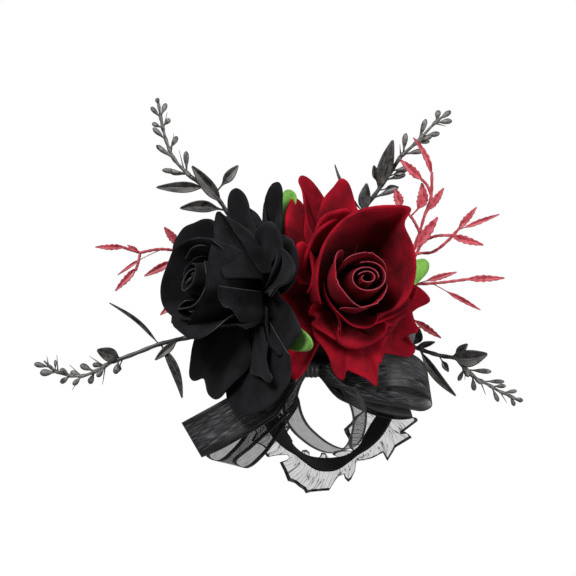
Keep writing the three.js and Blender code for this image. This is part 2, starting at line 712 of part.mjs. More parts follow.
// Ribbon bow, in the spray's frame. Each loop leaves the tie, goes out, turns and comes back. Its
// ends are gathered flat in the tie, side by side, and its middle turns its width to sideShares.

const tieMiddle = facePlace(TIE_PIXEL);
const tieSolid = turnedSolid(
  [
    [0, -TIE_LENGTH / 2],
    [TIE_RADIUS * 0.85, -TIE_LENGTH / 2],
    [TIE_RADIUS, 0],
    [TIE_RADIUS * 0.85, TIE_LENGTH / 2],
    [0, TIE_LENGTH / 2],
  ],
  10,
  tieMiddle,
  vector(1, 0, 0),
);
const endStep = RIBBON_THICKNESS + CLEARANCE;
const GATHERED_SHARE = 0.33;
const GATHER_LENGTH_SHARE = 0.2;
const TURN_START_SHARE = 0.3;

function tieEnd(side, place) {
  const out = side * (TIE_LENGTH / 2 + TIE_CLEARANCE);
  return tieMiddle.clone().add(vector(out, 0, place * endStep));
}

function ribbonLoop({ from, to, pixels, sideShares, backShares = sideShares }) {
  const curve = new THREE.CatmullRomCurve3(
    [tieEnd(...from), ...pixels.map(facePlace), tieEnd(...to)],
    false,
    "centripetal",
  );
  const gathered = vector(0, -1, 0);
  const front = vector(...sideShares).normalize();
  const back = vector(...backShares).normalize();
  const surface = (u, v) => {
    const free = smooth(Math.min(v, 1 - v), 0, GATHER_LENGTH_SHARE);
    const open = front.clone().lerp(back, smooth(v, TURN_START_SHARE, 1 - TURN_START_SHARE));
    const side = gathered.clone().lerp(open, free).normalize();
    const width = RIBBON_WIDTH * (GATHERED_SHARE + (1 - GATHERED_SHARE) * free);
    return curve.getPoint(v).addScaledVector(side, (u - 1 / 2) * width);
  };
  return sheetSolid(surface, 1, LOOP_STEP_COUNT, RIBBON_THICKNESS);
}

const bowLoops = {
  bow_loop_centre: {
    from: [-1, 2],
    to: [1, 2],
    pixels: [
      [293, 392, 67], [297, 425, 70], [315, 443, 71], [335, 446, 71],
      [352, 436, 73], [359, 415, 74], [354, 394, 75], [338, 380, 71],
    ],
    sideShares: [0.45, -0.1, 0.88],
  },
  bow_loop_left_upper: {
    from: [-1, 1],
    to: [-1, 0],
    pixels: [
      [286, 381, 50], [262, 398, 45], [233, 416, 40], [206, 431, 34], [192, 439, 28],
      [206, 434, 24], [235, 418, 31], [264, 400, 37], [287, 383, 45],
    ],
    sideShares: [0.5, -0.84, 0.2],
  },
  bow_loop_left_lower: {
    from: [-1, -1],
    to: [-1, -2],
    pixels: [
      [288, 392, 39], [262, 420, 28], [236, 444, 20], [221, 458, 14], [232, 464, 8],
      [250, 450, 12], [268, 424, 20], [287, 396, 33],
    ],
    sideShares: [0.75, -0.15, 0.6],
  },
  bow_loop_right_upper: {
    from: [1, 1],
    to: [1, 0],
    pixels: [
      [344, 370, 48], [372, 368, 47], [402, 367, 46], [421, 372, 46], [428, 381, 46],
      [419, 387, 47], [398, 388, 48], [368, 385, 50], [344, 378, 50],
    ],
    sideShares: [0.1, -0.93, 0.36],
    backShares: [0.1, -0.7, 0.7],
  },
  bow_loop_right_lower: {
    from: [1, -1],
    to: [1, -2],
    pixels: [
      [344, 388, 42], [372, 401, 43], [402, 405, 43], [420, 407, 41],
      [402, 410, 38], [372, 405, 38], [344, 392, 37],
    ],
    sideShares: [0.1, -0.65, 0.75],
  },
};
const bow = { bow_tie: [tieSolid, BLACK_ORGANZA] };
for (const [name, loop] of Object.entries(bowLoops)) {
  bow[name] = [ribbonLoop(loop), BLACK_ORGANZA];
}

// Sprigs and ferns, in the spray's frame.

function pathCurve(pixels, start = null) {
  const points = pixels.map(facePlace);
  if (start) points.unshift(start);
  if (points.length === 2) return new THREE.LineCurve3(points[0], points[1]);
  return new THREE.CatmullRomCurve3(points, false, "centripetal");
}

function tubeOn(curve, radius, sides, steps, from = 0, to = 1) {
  const points = Array.from({ length: steps + 1 }, (_, index) => (
    curve.getPoint(from + ((to - from) * index) / steps)
  ));
  return tubeSolid(points, radius, sides, steps);
}

// A leaf from a place on its stalk to its tip: at is the place's share of the stalk's path, then
// the tip's pixel, the width in pixels, the share of the length that is a narrow foot, and the
// sideways bow in pixels.
const LEAF_FOLD_SHARE = 0.35;
const LEAF_FOOT_WIDTH_SHARE = 0.12;

function leafSolid(start, [, tipPixel, widthPixels, footShare, bowPixels = 0], thickness) {
  const tip = facePlace(tipPixel);
  const along = tip.clone().sub(start);
  const side = along.clone().cross(vector(0, 0, 1)).normalize();
  const half = (widthPixels * PICTURE_PIXEL) / 2;
  const surface = (u, v) => {
    const blade = THREE.MathUtils.clamp((v - footShare) / (1 - footShare), 0, 1);
    const shape = Math.max(Math.sin(Math.PI * blade ** 0.8), 0) ** 0.85;
    const share = LEAF_FOOT_WIDTH_SHARE + (1 - LEAF_FOOT_WIDTH_SHARE) * shape;
    const across = (2 * u - 1) * half * share;
    const point = start.clone().addScaledVector(along, v).addScaledVector(side, across);
    point.addScaledVector(side, -bowPixels * PICTURE_PIXEL * Math.sin(Math.PI * v));
    return point.add(vector(0, 0, Math.abs(across) * LEAF_FOLD_SHARE));
  };
  return sheetSolid(surface, 2, 3, thickness);
}

// A club-shaped bud: a thin stalk that swells to a round end.
function clubSolid(base, direction, lengthShare) {
  const length = BUD_CLUB_LENGTH * lengthShare;
  const radius = BUD_CLUB_RADIUS * lengthShare;
  const profile = [
    [0, 0],
    [radius * 0.3, 0],
    [radius, length * 0.72],
    [0, length],
  ];
  return turnedSolid(profile, 4, base, direction);
}

const CLUB_LEAN = 38;

function spikeSolid(curve, whorlShares) {
  const pieces = [tubeOn(curve, SPIKE_CORE_RADIUS, 4, 6, 0.02)];
  whorlShares.forEach((share, whorl) => {
    const base = curve.getPoint(share);
    const along = curve.getTangent(share);
    const start = vector(0, 0, 1).cross(along).normalize();
    const grown = 1 - 0.25 * share;
    for (let club = 0; club < CLUB_COUNT; club += 1) {
      const turn = (2 * Math.PI * club) / CLUB_COUNT + whorl * 0.9;
      const side = start.clone().applyAxisAngle(along, turn);
      const lean = radians(CLUB_LEAN);
      const direction = along.clone().multiplyScalar(Math.cos(lean)).addScaledVector(side, Math.sin(lean));
      pieces.push(clubSolid(base, direction, grown));
    }
  });
  pieces.push(clubSolid(curve.getPoint(0.96), curve.getTangent(1), 0.75));
  return joined(pieces);
}

const sprigPlans = {
  upper_left: {
    rootShare: 0.875,
    stem: [[262, 250, -24], [228, 214, -16]],
    leafStalk: [[228, 214, -16], [219, 200, -12], [205, 187, -9], [190, 176, -7]],
    spike: [[190, 176, -7], [174, 159, -4], [165, 137, -2], [158, 102, 0]],
    whorlShares: [0.06, 0.28, 0.48, 0.66, 0.85],
    leaves: [
      [0.28, [192, 166, -3], 13, 0.05],
      [0.66, [156, 187, -12], 11, 0.12],
      [0.45, [238, 165, -12], 10, 0.4],
      [0.08, [180, 208, -6], 12, 0.22, -3],
    ],
  },
  upper_right: {
    rootShare: 0.906,
    stem: [[335, 250, -26], [362, 212, -16]],
    leafStalk: [[362, 212, -16], [379, 189, -12], [392, 170, -9], [401, 156, -7]],
    spike: [[401, 156, -7], [418, 141, -4], [436, 122, -2], [449, 112, 0]],
    whorlShares: [0.06, 0.34, 0.44, 0.72, 0.8],
    leaves: [
      [0.42, [393, 140, -4], 15, 0.06],
      [0.42, [374, 165, -8], 7, 0.4],
      [0.4, [399, 187, -9], 7, 0.4],
      [0.64, [408, 169, -8], 6, 0.4],
      [0.02, [367, 183, -12], 12, 0.08],
      [0.02, [335, 164, -16], 4, 0.1, 4],
    ],
  },
  lower_left: {
    rootShare: 0.5,
    stem: [[250, 325, -22], [181, 339, -14]],
    leafStalk: [[181, 339, -14], [160, 344, -10], [134, 354, -8], [112, 362, -6]],
    spike: [[112, 362, -6], [82, 376, -4], [57, 372, -2], [44, 361, 0]],
    whorlShares: [0.1, 0.26, 0.46, 0.64, 0.84],
    leaves: [
      [0.88, [97, 350, -2], 14, 0.12],
      [0.84, [116, 373, -6], 6, 0.5],
      [0.3, [182, 398, -4], 9, 0.12, 4],
      [0.04, [155, 360, -4], 8, 0.15],
      [0.32, [109, 303, -8], 4, 0.1, -4],
    ],
  },
  lower_right: {
    rootShare: 0.53125,
    stem: [[360, 325, -22], [411, 346, -14]],
    leafStalk: [[411, 346, -14], [428, 352, -10], [442, 356, -8], [457, 358, -6]],
    spike: [[457, 358, -6], [468, 374, -9], [484, 385, -7], [503, 392, -4], [521, 404, -2]],
    whorlShares: [0.17, 0.34, 0.52, 0.7, 0.87],
    leaves: [
      [0.84, [487, 354, 5], 17, 0.16, -3],
      [0.9, [468, 344, -6], 8, 0.3],
      [0.2, [456, 396, -4], 9, 0.12, -3],
      [0.1, [435, 342, -4], 6, 0.15],
      [0.04, [419, 327, -18], 15, 0.15],
      [0.62, [449, 372, -8], 6, 0.4],
    ],
  },
};

// Each sprig is a wired stem, a moulded whorl of leaves and a moulded spike of buds, end to end.
const sprigs = {};
for (const [place, plan] of Object.entries(sprigPlans)) {
  const root = bundleSkin(plan.rootShare, facePlace(plan.stem[0]), SPRIG_CLEARANCE);
  const stalk = pathCurve(plan.leafStalk);
  const gapShare = CLEARANCE / stalk.getLength();
  const stem = pathCurve(plan.stem, root);
  const leaves = plan.leaves.map((leaf) => leafSolid(stalk.getPoint(leaf[0]), leaf, LEAF_THICKNESS));
  sprigs[`sprig_${place}_stem`] = [tubeOn(stem, SPRIG_STEM_RADIUS, 5, 5, 0, 0.995), GREY_PLASTIC];
  sprigs[`sprig_${place}_leaves`] = [
    joined([tubeOn(stalk, SPRIG_STEM_RADIUS * 0.9, 5, 3, 0, 1 - gapShare), ...leaves]),
    GREY_PLASTIC,
  ];
  sprigs[`sprig_${place}_buds`] = [spikeSolid(pathCurve(plan.spike), plan.whorlShares), GREY_PLASTIC];
}

// A fern has stalks, each a list of pixels, and blades, each from a pixel to its tip.
const fernPlans = {
  fern_upper: {
    rootShare: 0.781,
    stem: [[370, 275, -24], [412, 256, -14]],
    stalks: [
      [[410, 257, -14], [420, 232, -10], [425, 215, -8], [431, 198, -5], [432, 172, -1]],
      [[431, 194, -5], [427, 185, -1], [421, 179, 3]],
      [[420, 232, -10], [412, 218, -2], [400, 206, 2]],
    ],
    blades: [
      [[432, 175, -1], [413, 138, 8], 6, 0.05, -3],
      [[422, 180, 3], [400, 160, 8], 9, 0.05],
      [[426, 214, -8], [444, 188, -4], 8, 0.2],
      [[419, 226, -8], [422, 184, -2], 12, 0.35, -6],
      [[401, 207, 2], [395, 189, 6], 10, 0.05],
      [[414, 251, -12], [438, 217, -6], 11, 0.15],
    ],
  },
  fern_right: {
    rootShare: 0.625,
    stem: [[360, 290, -26], [398, 282, -18]],
    stalks: [
      [[396, 282, -18], [417, 254, -22], [433, 252, -19], [448, 241, -15], [460, 228, -12]],
      [[416, 256, -22], [424, 242, -20], [436, 236, -17], [453, 235, -13]],
      [[396, 282, -18], [414, 284, -14], [437, 283, -10], [470, 279, -8]],
      [[396, 283, -18], [402, 312, -8], [412, 318, -2]],
    ],
    blades: [
      [[458, 230, -12], [477, 207, -9], 7, 0.1],
      [[458, 230, -12], [500, 214, -9], 5, 0.2],
      [[450, 235, -13], [484, 245, -10], 8, 0.1],
      [[466, 279, -8], [505, 278, -6], 7, 0.08],
      [[416, 284, -14], [457, 272, -8], 6, 0.3],
      [[432, 283, -10], [481, 310, -8], 5, 0.35],
      [[410, 317, -2], [441, 338, 2], 7, 0.2],
    ],
  },
  fern_left: {
    rootShare: 0.719,
    stem: [[250, 262, -26], [186, 253, -16]],
    stalks: [
      [[188, 253, -16], [161, 249, -12], [147, 251, -10], [139, 253, -9]],
      [[141, 253, -9], [131, 250, -8], [122, 247, -8]],
      [[140, 252, -9], [138, 262, -8], [135, 271, -8]],
      [[186, 255, -16], [182, 290, -14], [172, 304, -12]],
    ],
    blades: [
      [[124, 247, -8], [95, 247, -6], 6, 0.04],
      [[140, 252, -9], [127, 245, -8], 4, 0.2],
      [[136, 268, -8], [115, 291, -6], 7, 0.05],
      [[162, 249, -12], [117, 275, -10], 3.5, 0.5, -2],
      [[186, 254, -16], [144, 276, -10], 8, 0.35],
      [[184, 252, -16], [164, 227, -10], 9, 0.3],
      [[174, 303, -12], [160, 315, -10], 6, 0.1],
    ],
  },
};

const ferns = {};
for (const [name, plan] of Object.entries(fernPlans)) {
  const root = bundleSkin(plan.rootShare, facePlace(plan.stem[0]), SPRIG_CLEARANCE);
  const stem = tubeOn(pathCurve(plan.stem, root), FERN_STEM_RADIUS, 4, 3);
  const stalks = plan.stalks.map((pixels) => (
    tubeOn(pathCurve(pixels), FERN_STEM_RADIUS, 4, pixels.length)
  ));
  const blades = plan.blades.map(([start, ...blade]) => (
    leafSolid(facePlace(start), [0, ...blade], FERN_BLADE_THICKNESS)
  ));
  ferns[name] = [joined([stem, ...stalks, ...blades]), RED_PLASTIC];
}

const group = new THREE.Group();
const face = new THREE.Group();
face.rotation.x = radians(FACE_TILT);
group.add(face);

function addPieces(parent, pieces) {
  for (const [name, [solid, material]] of Object.entries(pieces)) {
    const mesh = new THREE.Mesh(toGeometry(solid), material.clone());
    mesh.name = name;
    parent.add(mesh);
  }
}

addPieces(group, wristlet);
addPieces(face, { stem_bundle: [bundleBody, GREEN_TAPE], ...roses, ...bow, ...sprigs, ...ferns });

export default group;
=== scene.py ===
"""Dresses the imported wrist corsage: cloth roses, bud sprigs, ferns, ribbon bow and wristlet.

Pieces are made in metres in the row's frame. They are laid out in millimetres in the spray's
frame, which is the row's frame turned about X, so that a place in the photograph is a place on
the spray.
"""
from __future__ import annotations

import logging
import math
from collections.abc import Callable, Sequence
from dataclasses import dataclass, field
from enum import Enum
from functools import cache, partial

import bmesh
import bpy
from mathutils import Matrix, Vector, noise

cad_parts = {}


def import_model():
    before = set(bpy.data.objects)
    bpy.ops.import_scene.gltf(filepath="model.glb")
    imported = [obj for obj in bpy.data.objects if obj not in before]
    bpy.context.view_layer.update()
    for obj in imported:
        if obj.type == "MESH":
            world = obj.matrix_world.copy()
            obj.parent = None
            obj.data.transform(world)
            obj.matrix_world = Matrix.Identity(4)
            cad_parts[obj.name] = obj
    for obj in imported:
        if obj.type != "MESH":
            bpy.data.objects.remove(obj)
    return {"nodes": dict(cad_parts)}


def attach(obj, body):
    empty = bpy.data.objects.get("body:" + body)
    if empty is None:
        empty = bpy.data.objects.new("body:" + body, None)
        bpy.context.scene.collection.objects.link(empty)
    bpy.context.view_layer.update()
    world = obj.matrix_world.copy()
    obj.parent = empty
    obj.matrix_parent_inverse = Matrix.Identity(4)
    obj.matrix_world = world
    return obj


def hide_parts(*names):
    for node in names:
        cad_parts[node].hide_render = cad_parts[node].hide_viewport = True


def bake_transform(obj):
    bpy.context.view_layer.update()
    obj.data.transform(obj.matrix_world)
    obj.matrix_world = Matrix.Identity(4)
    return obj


LOG = logging.getLogger("corsage")
MM = 0.001
# What a pixel of the photograph spans on the corsage, and the pixel that shows the loop's middle.
PIXEL_MM = 0.375
LOOP_PIXEL = (327.0, 402.0)
# How far the photograph looks down on the corsage.
VIEW_DOWN = math.radians(30.0)
FACE_TO_ROW = Matrix.Rotation(math.pi / 2 - VIEW_DOWN, 3, "X")
SPRAY = "spray"
UV = "UVMap"

Pixel = tuple[float, float, float]
Edge = tuple[float, float, float, float]
Range = tuple[float, float]
Surface = Callable[[float, float], Vector]
Mesh = bmesh.types.BMesh
Socket = bpy.types.NodeSocket
Colour = tuple[float, float, float, float]


def face_place(pixel: Pixel) -> Vector:
    """Turns a place in the photograph into a place on the spray.

    Args:
        pixel: Pixels across and down the photograph, and forward from the wrist loop's middle.

    Returns:
        The place in the spray's frame, in millimetres.
    """
    across, down, forward = pixel
    return Vector((across - LOOP_PIXEL[0], LOOP_PIXEL[1] - down, forward)) * PIXEL_MM


def from_face(point: Vector) -> Vector:
    """Turns a place in the spray's frame, in millimetres, into one in the row's, in metres."""
    return (FACE_TO_ROW @ point) * MM


def ease(value: float, low: float, high: float) -> float:
    """Rises smoothly from 0 at low to 1 at high."""
    share = min(max((value - low) / (high - low), 0.0), 1.0)
    return share * share * (3.0 - 2.0 * share)


def bend(angles: tuple[float, float, float], share: float) -> float:
    """Passes smoothly from the first angle toward the second and to the third, as share grows to 1."""
    first, middle, last = angles
    return (1 - share) ** 2 * first + 2 * share * (1 - share) * middle + share ** 2 * last


def compass(turn: float) -> tuple[Vector, Vector]:
    """Gives the ways outward and sideways at a turn in degrees round an axis."""
    way = math.radians(turn)
    return Vector((math.cos(way), math.sin(way), 0)), Vector((-math.sin(way), math.cos(way), 0))


def spline(points: Sequence[Vector], share: float) -> Vector:
    """Finds a place on a smooth curve through some points.

    Args:
        points: The points in order, at least two.
        share: Where on the curve, from 0 to 1, each stretch counting by its length.

    Returns:
        The place on the curve.
    """
    if len(points) == 2:
        return points[0].lerp(points[1], share)
    lengths = [(b - a).length for a, b in zip(points, points[1:])]
    left = share * sum(lengths)
    index = 0
    while index < len(lengths) - 1 and left > lengths[index]:
        left -= lengths[index]
        index += 1
    part = left / lengths[index]
    a, b = points[index], points[index + 1]
    before = points[index - 1] if index else points[0] * 2 - points[1]
    after = points[index + 2] if index + 2 < len(points) else points[-1] * 2 - points[-2]
    start = ((a - before).normalized() + (b - a) / lengths[index]) / 2
    end = ((b - a) / lengths[index] + (after - b).normalized()) / 2
    two, three = part * part, part * part * part
    return (
        a * (2 * three - 3 * two + 1)
        + start * (lengths[index] * (three - 2 * two + part))
        + b * (3 * two - 2 * three)
        + end * (lengths[index] * (three - two))
    )


def spaced(points: Sequence[Vector], count: int) -> list[Vector]:
    """Gives evenly spaced places in the row's frame along a curve on the spray."""
    return [from_face(spline(points, index / count)) for index in range(count + 1)]


# Materials

def linear(colour: str) -> Colour:
    """Turns an sRGB hex colour into linear red, green, blue and alpha."""
    channels = [int(colour[start:start + 2], 16) / 255 for start in (1, 3, 5)]
    return (*[c / 12.92 if c <= 0.04045 else ((c + 0.055) / 1.055) ** 2.4 for c in channels], 1.0)


def grey(tone: float) -> Colour:
    """Gives a grey to multiply a colour by, which brightens it above 1."""
    return tone, tone, tone, 1.0


class Shader:
    """A node tree, with a short method for each kind of node that is used here."""

    def __init__(self, tree: bpy.types.NodeTree) -> None:
        """Empties the tree."""
        self.tree = tree
        tree.nodes.clear()

    def node(self, kind: str, inputs: dict[str | int, object], **settings: object) -> bpy.types.Node:
        """Adds one node.

        Args:
            kind: The node's type, without the words that every type starts with.
            inputs: Input sockets by name or number, each with its value or what feeds it.
            settings: The node's own settings.

        Returns:
            The new node.
        """
        node = self.tree.nodes.new(f"ShaderNode{kind}")
        for name, value in settings.items():
            setattr(node, name, value)
        for socket, source in inputs.items():
            if isinstance(source, Socket):
                self.tree.links.new(source, node.inputs[socket])
            else:
                node.inputs[socket].default_value = source
        return node

    def cloth(self) -> Socket:
        """Gives the piece's own UV map, which is in millimetres."""
        return self.node("UVMap", {}, uv_map=UV).outputs[0]

    def parts(self, place: Socket) -> tuple[Socket, Socket]:
        """Gives a place's first and second parts."""
        outputs = self.node("SeparateXYZ", {0: place}).outputs
        return outputs[0], outputs[1]

    def sum(self, kind: str, first: Socket | float, second: Socket | float = 0.0) -> Socket:
        """Does one sum on two values."""
        return self.node("Math", {0: first, 1: second}, operation=kind).outputs[0]

    def add(self, first: Socket | float, second: Socket | float) -> Socket:
        """Adds two values."""
        return self.sum("ADD", first, second)

    def times(self, first: Socket | float, second: Socket | float) -> Socket:
        """Multiplies two values."""
        return self.sum("MULTIPLY", first, second)

    def wave(self, place: Socket, pitch: float) -> Socket:
        """Gives a sine wave that repeats at a pitch."""
        return self.sum("SINE", self.times(place, 2 * math.pi / pitch))

    def ramp(self, source: Socket, span: Range, to: Range = (0.0, 1.0)) -> Socket:
        """Spreads the values of a span over another span."""
        limits = {"From Min": span[0], "From Max": span[1], "To Min": to[0], "To Max": to[1]}
        return self.node("MapRange", {"Value": source, **limits}).outputs["Result"]

    def mix(
        self, share: Socket | float, first: Socket | Colour, second: Socket | Colour, way: str = "MIX",
    ) -> Socket:
        """Mixes two colours by the second one's share."""
        colours = {0: share, 6: first, 7: second}
        return self.node("Mix", colours, data_type="RGBA", blend_type=way).outputs[2]

    def noise(self, place: Socket, scale: float, detail: float) -> Socket:
        """Gives the value of a noise at a place."""
        return self.node("TexNoise", {"Vector": place, "Scale": scale, "Detail": detail}).outputs["Fac"]

    def grains(self, size_mm: float, detail: float) -> Socket:
        """Gives the value of a noise with grains of one size on the piece's own coordinates."""
        return self.noise(self.node("TexCoord", {}).outputs["Object"], 1 / (size_mm * MM), detail)

    def scaled(self, place: Socket, scale: Range) -> Socket:
        """Scales a place's first and second parts."""
        return self.node("Mapping", {"Vector": place, "Scale": (*scale, 1.0)}).outputs[0]

    def skin(
        self, looks: dict[str, object], height: Socket | None = None, relief: Range = (0.0, 0.0),
    ) -> None:
        """Adds the surface and the material's output.

        Args:
            looks: The surface's inputs.
            height: The height of its relief, if it has one.
            relief: The relief's strength and its depth in millimetres.
        """
        if height is not None:
            strength, depth_mm = relief
            bump = self.node("Bump", {"Strength": strength, "Distance": depth_mm * MM, "Height": height})
            looks = {**looks, "Normal": bump.outputs[0]}
        self.node("OutputMaterial", {0: self.node("BsdfPrincipled", looks).outputs[0]})


@dataclass(frozen=True)
class Look:
    """One finish, whose material has its name."""

    name: str

    def build(self) -> bpy.types.Material:
        """Builds the finish.

        Returns:
            Its material.
        """
        material = bpy.data.materials.new(self.name)
        material.use_nodes = True
        self.draw(Shader(material.node_tree))
        return material

    def draw(self, shader: Shader) -> None:
        """Adds the finish's nodes.

        Args:
            shader: The material's empty tree.
        """
        raise NotImplementedError


@dataclass(frozen=True)
class Velvet(Look):
    """Polyester velvet, knitted and sheared: a short pile that takes light at its tips.

    The eye sees a deep colour with faint brushed patches and specks of lint, with painted shade
    that is darkest at a petal's foot and a painted highlight toward its rim.
    """

    deep: str
    bright: str
    lint: str
    sheen: float
    painted_foot_shade: float
    painted_rim_highlight: float = 1.3
    # Painted shade is darkest up to the first distance from a petal's foot, and a painted highlight
    # is brightest from the second on.
    painted_shade_mm: Range = (9.6, 28.8)
    patch_mm: float = 9.0
    patch_span: Range = (0.3, 0.7)
    # A tuft of the pile is about 0.1 mm wide and is drawn at 0.6 mm, so that it shows.
    tuft_mm: float = 0.6
    tuft_span: Range = (0.2, 0.8)
    tuft_tones: Range = (0.72, 1.12)
    tuft_relief: Range = (0.5, 0.12)
    speck_mm: float = 0.9
    speck_span: Range = (0.77, 0.95)

    def draw(self, shader: Shader) -> None:
        """Adds the finish's nodes.

        Args:
            shader: The material's empty tree.
        """
        patches = shader.ramp(shader.grains(self.patch_mm, 2.0), self.patch_span)
        colour = shader.mix(patches, linear(self.deep), linear(self.bright))
        tufts = shader.grains(self.tuft_mm, 4.0)
        from_foot = shader.parts(shader.cloth())[1]
        # The second tone is painted: shade darkest at a petal's foot, a highlight brightest toward its
        # rim.
        for share, tones in (
            (shader.ramp(tufts, self.tuft_span), self.tuft_tones),
            (shader.ramp(from_foot, self.painted_shade_mm), (self.painted_foot_shade, self.painted_rim_highlight)),
        ):
            tone = shader.mix(share, grey(tones[0]), grey(tones[1]))
            colour = shader.mix(1.0, colour, tone, "MULTIPLY")
        specks = shader.ramp(shader.grains(self.speck_mm, 1.0), self.speck_span)
        looks = {
            "Base Color": shader.mix(specks, colour, linear(self.lint)),
            "Roughness": 0.95,
            "Sheen Weight": self.sheen,
            "Sheen Roughness": 0.42,
            "Sheen Tint": linear(self.lint),
            "Specular IOR Level": 0.15,
        }
        shader.skin(looks, tufts, self.tuft_relief)


@dataclass(frozen=True)
class CutEdge(Look):
    """The melted edge that a hot die leaves on velvet: a thin paler line, a little glossy."""

    colour: str
    dull_share: float = 0.45
    blotch_mm: float = 1.5
    blotch_span: Range = (0.3, 0.7)

    def draw(self, shader: Shader) -> None:
        """Adds the finish's nodes.

        Args:
            shader: The material's empty tree.
        """
        bright = linear(self.colour)
        dull = (*[channel * self.dull_share for channel in bright[:3]], 1.0)
        blotches = shader.ramp(shader.grains(self.blotch_mm, 3.0), self.blotch_span)
        shader.skin({"Base Color": shader.mix(blotches, dull, bright), "Roughness": 0.6})


@dataclass(frozen=True)
class MouldedPlastic(Look):
    """Injection-moulded polyethylene foliage: soft gloss, veins and a painted highlight in pale streaks.
    """

    deep: str
    pale: str
    roughness: float
    grain_mm: float = 2.2
    # A leaf's veins are a little under 1 mm wide and some 7 mm long.
    vein_scale: Range = (1.2, 0.15)
    vein_relief: Range = (0.4, 0.15)
    highlight_span: Range = (0.8, 1.25)
    highlight_roughness: float = 0.2

    def draw(self, shader: Shader) -> None:
        """Adds the finish's nodes.

        Args:
            shader: The material's empty tree.
        """
        veins = shader.noise(shader.scaled(shader.cloth(), self.vein_scale), 1.0, 3.0)
        # Pale streaks along the veins and random patches are a painted highlight, made a little rougher.
        painted_highlight = shader.ramp(shader.add(veins, shader.grains(self.grain_mm, 2.0)), self.highlight_span)
        gloss = shader.ramp(painted_highlight, (0.0, 1.0), (self.roughness, self.roughness + self.highlight_roughness))
        colour = shader.mix(painted_highlight, linear(self.deep), linear(self.pale))
        shader.skin({"Base Color": colour, "Roughness": gloss}, veins, self.vein_relief)


@dataclass(frozen=True)
class Felt(Look):
    """Pressed felt: matt, with short fibres in every direction."""

    deep: str
    pale: str
    # Fibres are about 0.05 mm thick and are drawn at 0.7 mm, so that they show.
    fibre_mm: float = 0.7
    fibre_relief: Range = (0.6, 0.2)
    patch_mm: float = 5.0
    pale_span: Range = (0.36, 0.64)

    def draw(self, shader: Shader) -> None:
        """Adds the finish's nodes.

        Args:
            shader: The material's empty tree.
        """
        fibres = shader.grains(self.fibre_mm, 5.0)
        both = shader.times(shader.add(fibres, shader.grains(self.patch_mm, 2.0)), 0.5)
        colour = shader.mix(shader.ramp(both, self.pale_span), linear(self.deep), linear(self.pale))
        looks = {"Base Color": colour, "Roughness": 0.9, "Sheen Weight": 0.2}
        shader.skin(looks, fibres, self.fibre_relief)


@dataclass(frozen=True)
class Organza(Look):
    """Woven nylon organza: sheer, with a painted glint in streaks of its threads and a dense satin edge.

    The piece's own UV map is in millimetres: across the width first, then along the length.
    """

    thread: str
    glint: str
    cover: float
    width_mm: float
    edge_mm: float
    streak_scale: Range = (1.6, 0.25)
    crease_cover: float = 0.0
    # Threads are about 0.15 mm apart and are drawn 0.5 mm apart, so that they show.
    thread_mm: float = 0.5
    thread_cover: float = 0.03
    edge_cover: float = 0.9
    glint_cover: float = 0.2
    glint_span: Range = (0.5, 0.72)
    streak_height: float = 0.2
    # Creases lie some 6 mm apart along the gathered cloth and run across it.
    crease_scale: Range = (0.05, 0.17)
    crease_share: float = 0.014
    relief: Range = (0.4, 0.15)

    def draw(self, shader: Shader) -> None:
        """Adds the finish's nodes.

        Args:
            shader: The material's empty tree.
        """
        cloth = shader.cloth()
        across, along = shader.parts(cloth)
        from_edge = shader.sum("MINIMUM", across, shader.sum("SUBTRACT", self.width_mm, across))
        band = shader.sum("LESS_THAN", from_edge, self.edge_mm)
        threads = shader.add(shader.wave(across, self.thread_mm), shader.wave(along, self.thread_mm))
        weave = shader.times(threads, self.thread_cover)
        streaks = shader.noise(shader.scaled(cloth, self.streak_scale), 1.4, 4.0)
        # Paler thread colour in noise streaks is a painted glint, which also thickens the cover a little.
        painted_glints = shader.ramp(streaks, self.glint_span)
        cover = shader.add(shader.add(weave, self.cover), shader.times(painted_glints, self.glint_cover))
        if self.crease_cover:
            lines = shader.noise(shader.scaled(cloth, self.crease_scale), 1.0, 1.0)
            off = shader.sum("ABSOLUTE", shader.sum("SUBTRACT", lines, 0.5))
            crease = shader.sum("LESS_THAN", off, self.crease_share)
            cover = shader.add(cover, shader.times(crease, self.crease_cover))
        cover = shader.add(cover, shader.times(band, self.edge_cover - self.cover))
        colour = shader.mix(painted_glints, linear(self.thread), linear(self.glint))
        looks = {
            "Base Color": shader.mix(band, colour, linear(self.thread)),
            "Alpha": shader.node("Clamp", {"Value": cover}).outputs[0],
            "Roughness": 0.38,
            "Sheen Weight": 0.15,
        }
        height = shader.add(weave, shader.times(streaks, self.streak_height))
        shader.skin(looks, height, self.relief)


@dataclass(frozen=True)
class Webbing(Look):
    """Knitted elastic: matt black yarn ribs along the band with finer loops across."""

    yarn: str
    pale: str
    rib_mm: float = 1.0
    loop_mm: float = 0.7
    loop_height: float = 0.6
    pale_span: Range = (0.2, 1.6)
    relief: Range = (0.6, 0.2)

    def draw(self, shader: Shader) -> None:
        """Adds the finish's nodes.

        Args:
            shader: The material's empty tree.
        """
        across, along = shader.parts(shader.cloth())
        loops = shader.times(shader.wave(along, self.loop_mm), self.loop_height)
        height = shader.add(shader.wave(across, self.rib_mm), loops)
        colour = shader.mix(shader.ramp(height, self.pale_span), linear(self.yarn), linear(self.pale))
        shader.skin({"Base Color": colour, "Roughness": 0.85}, height, self.relief)


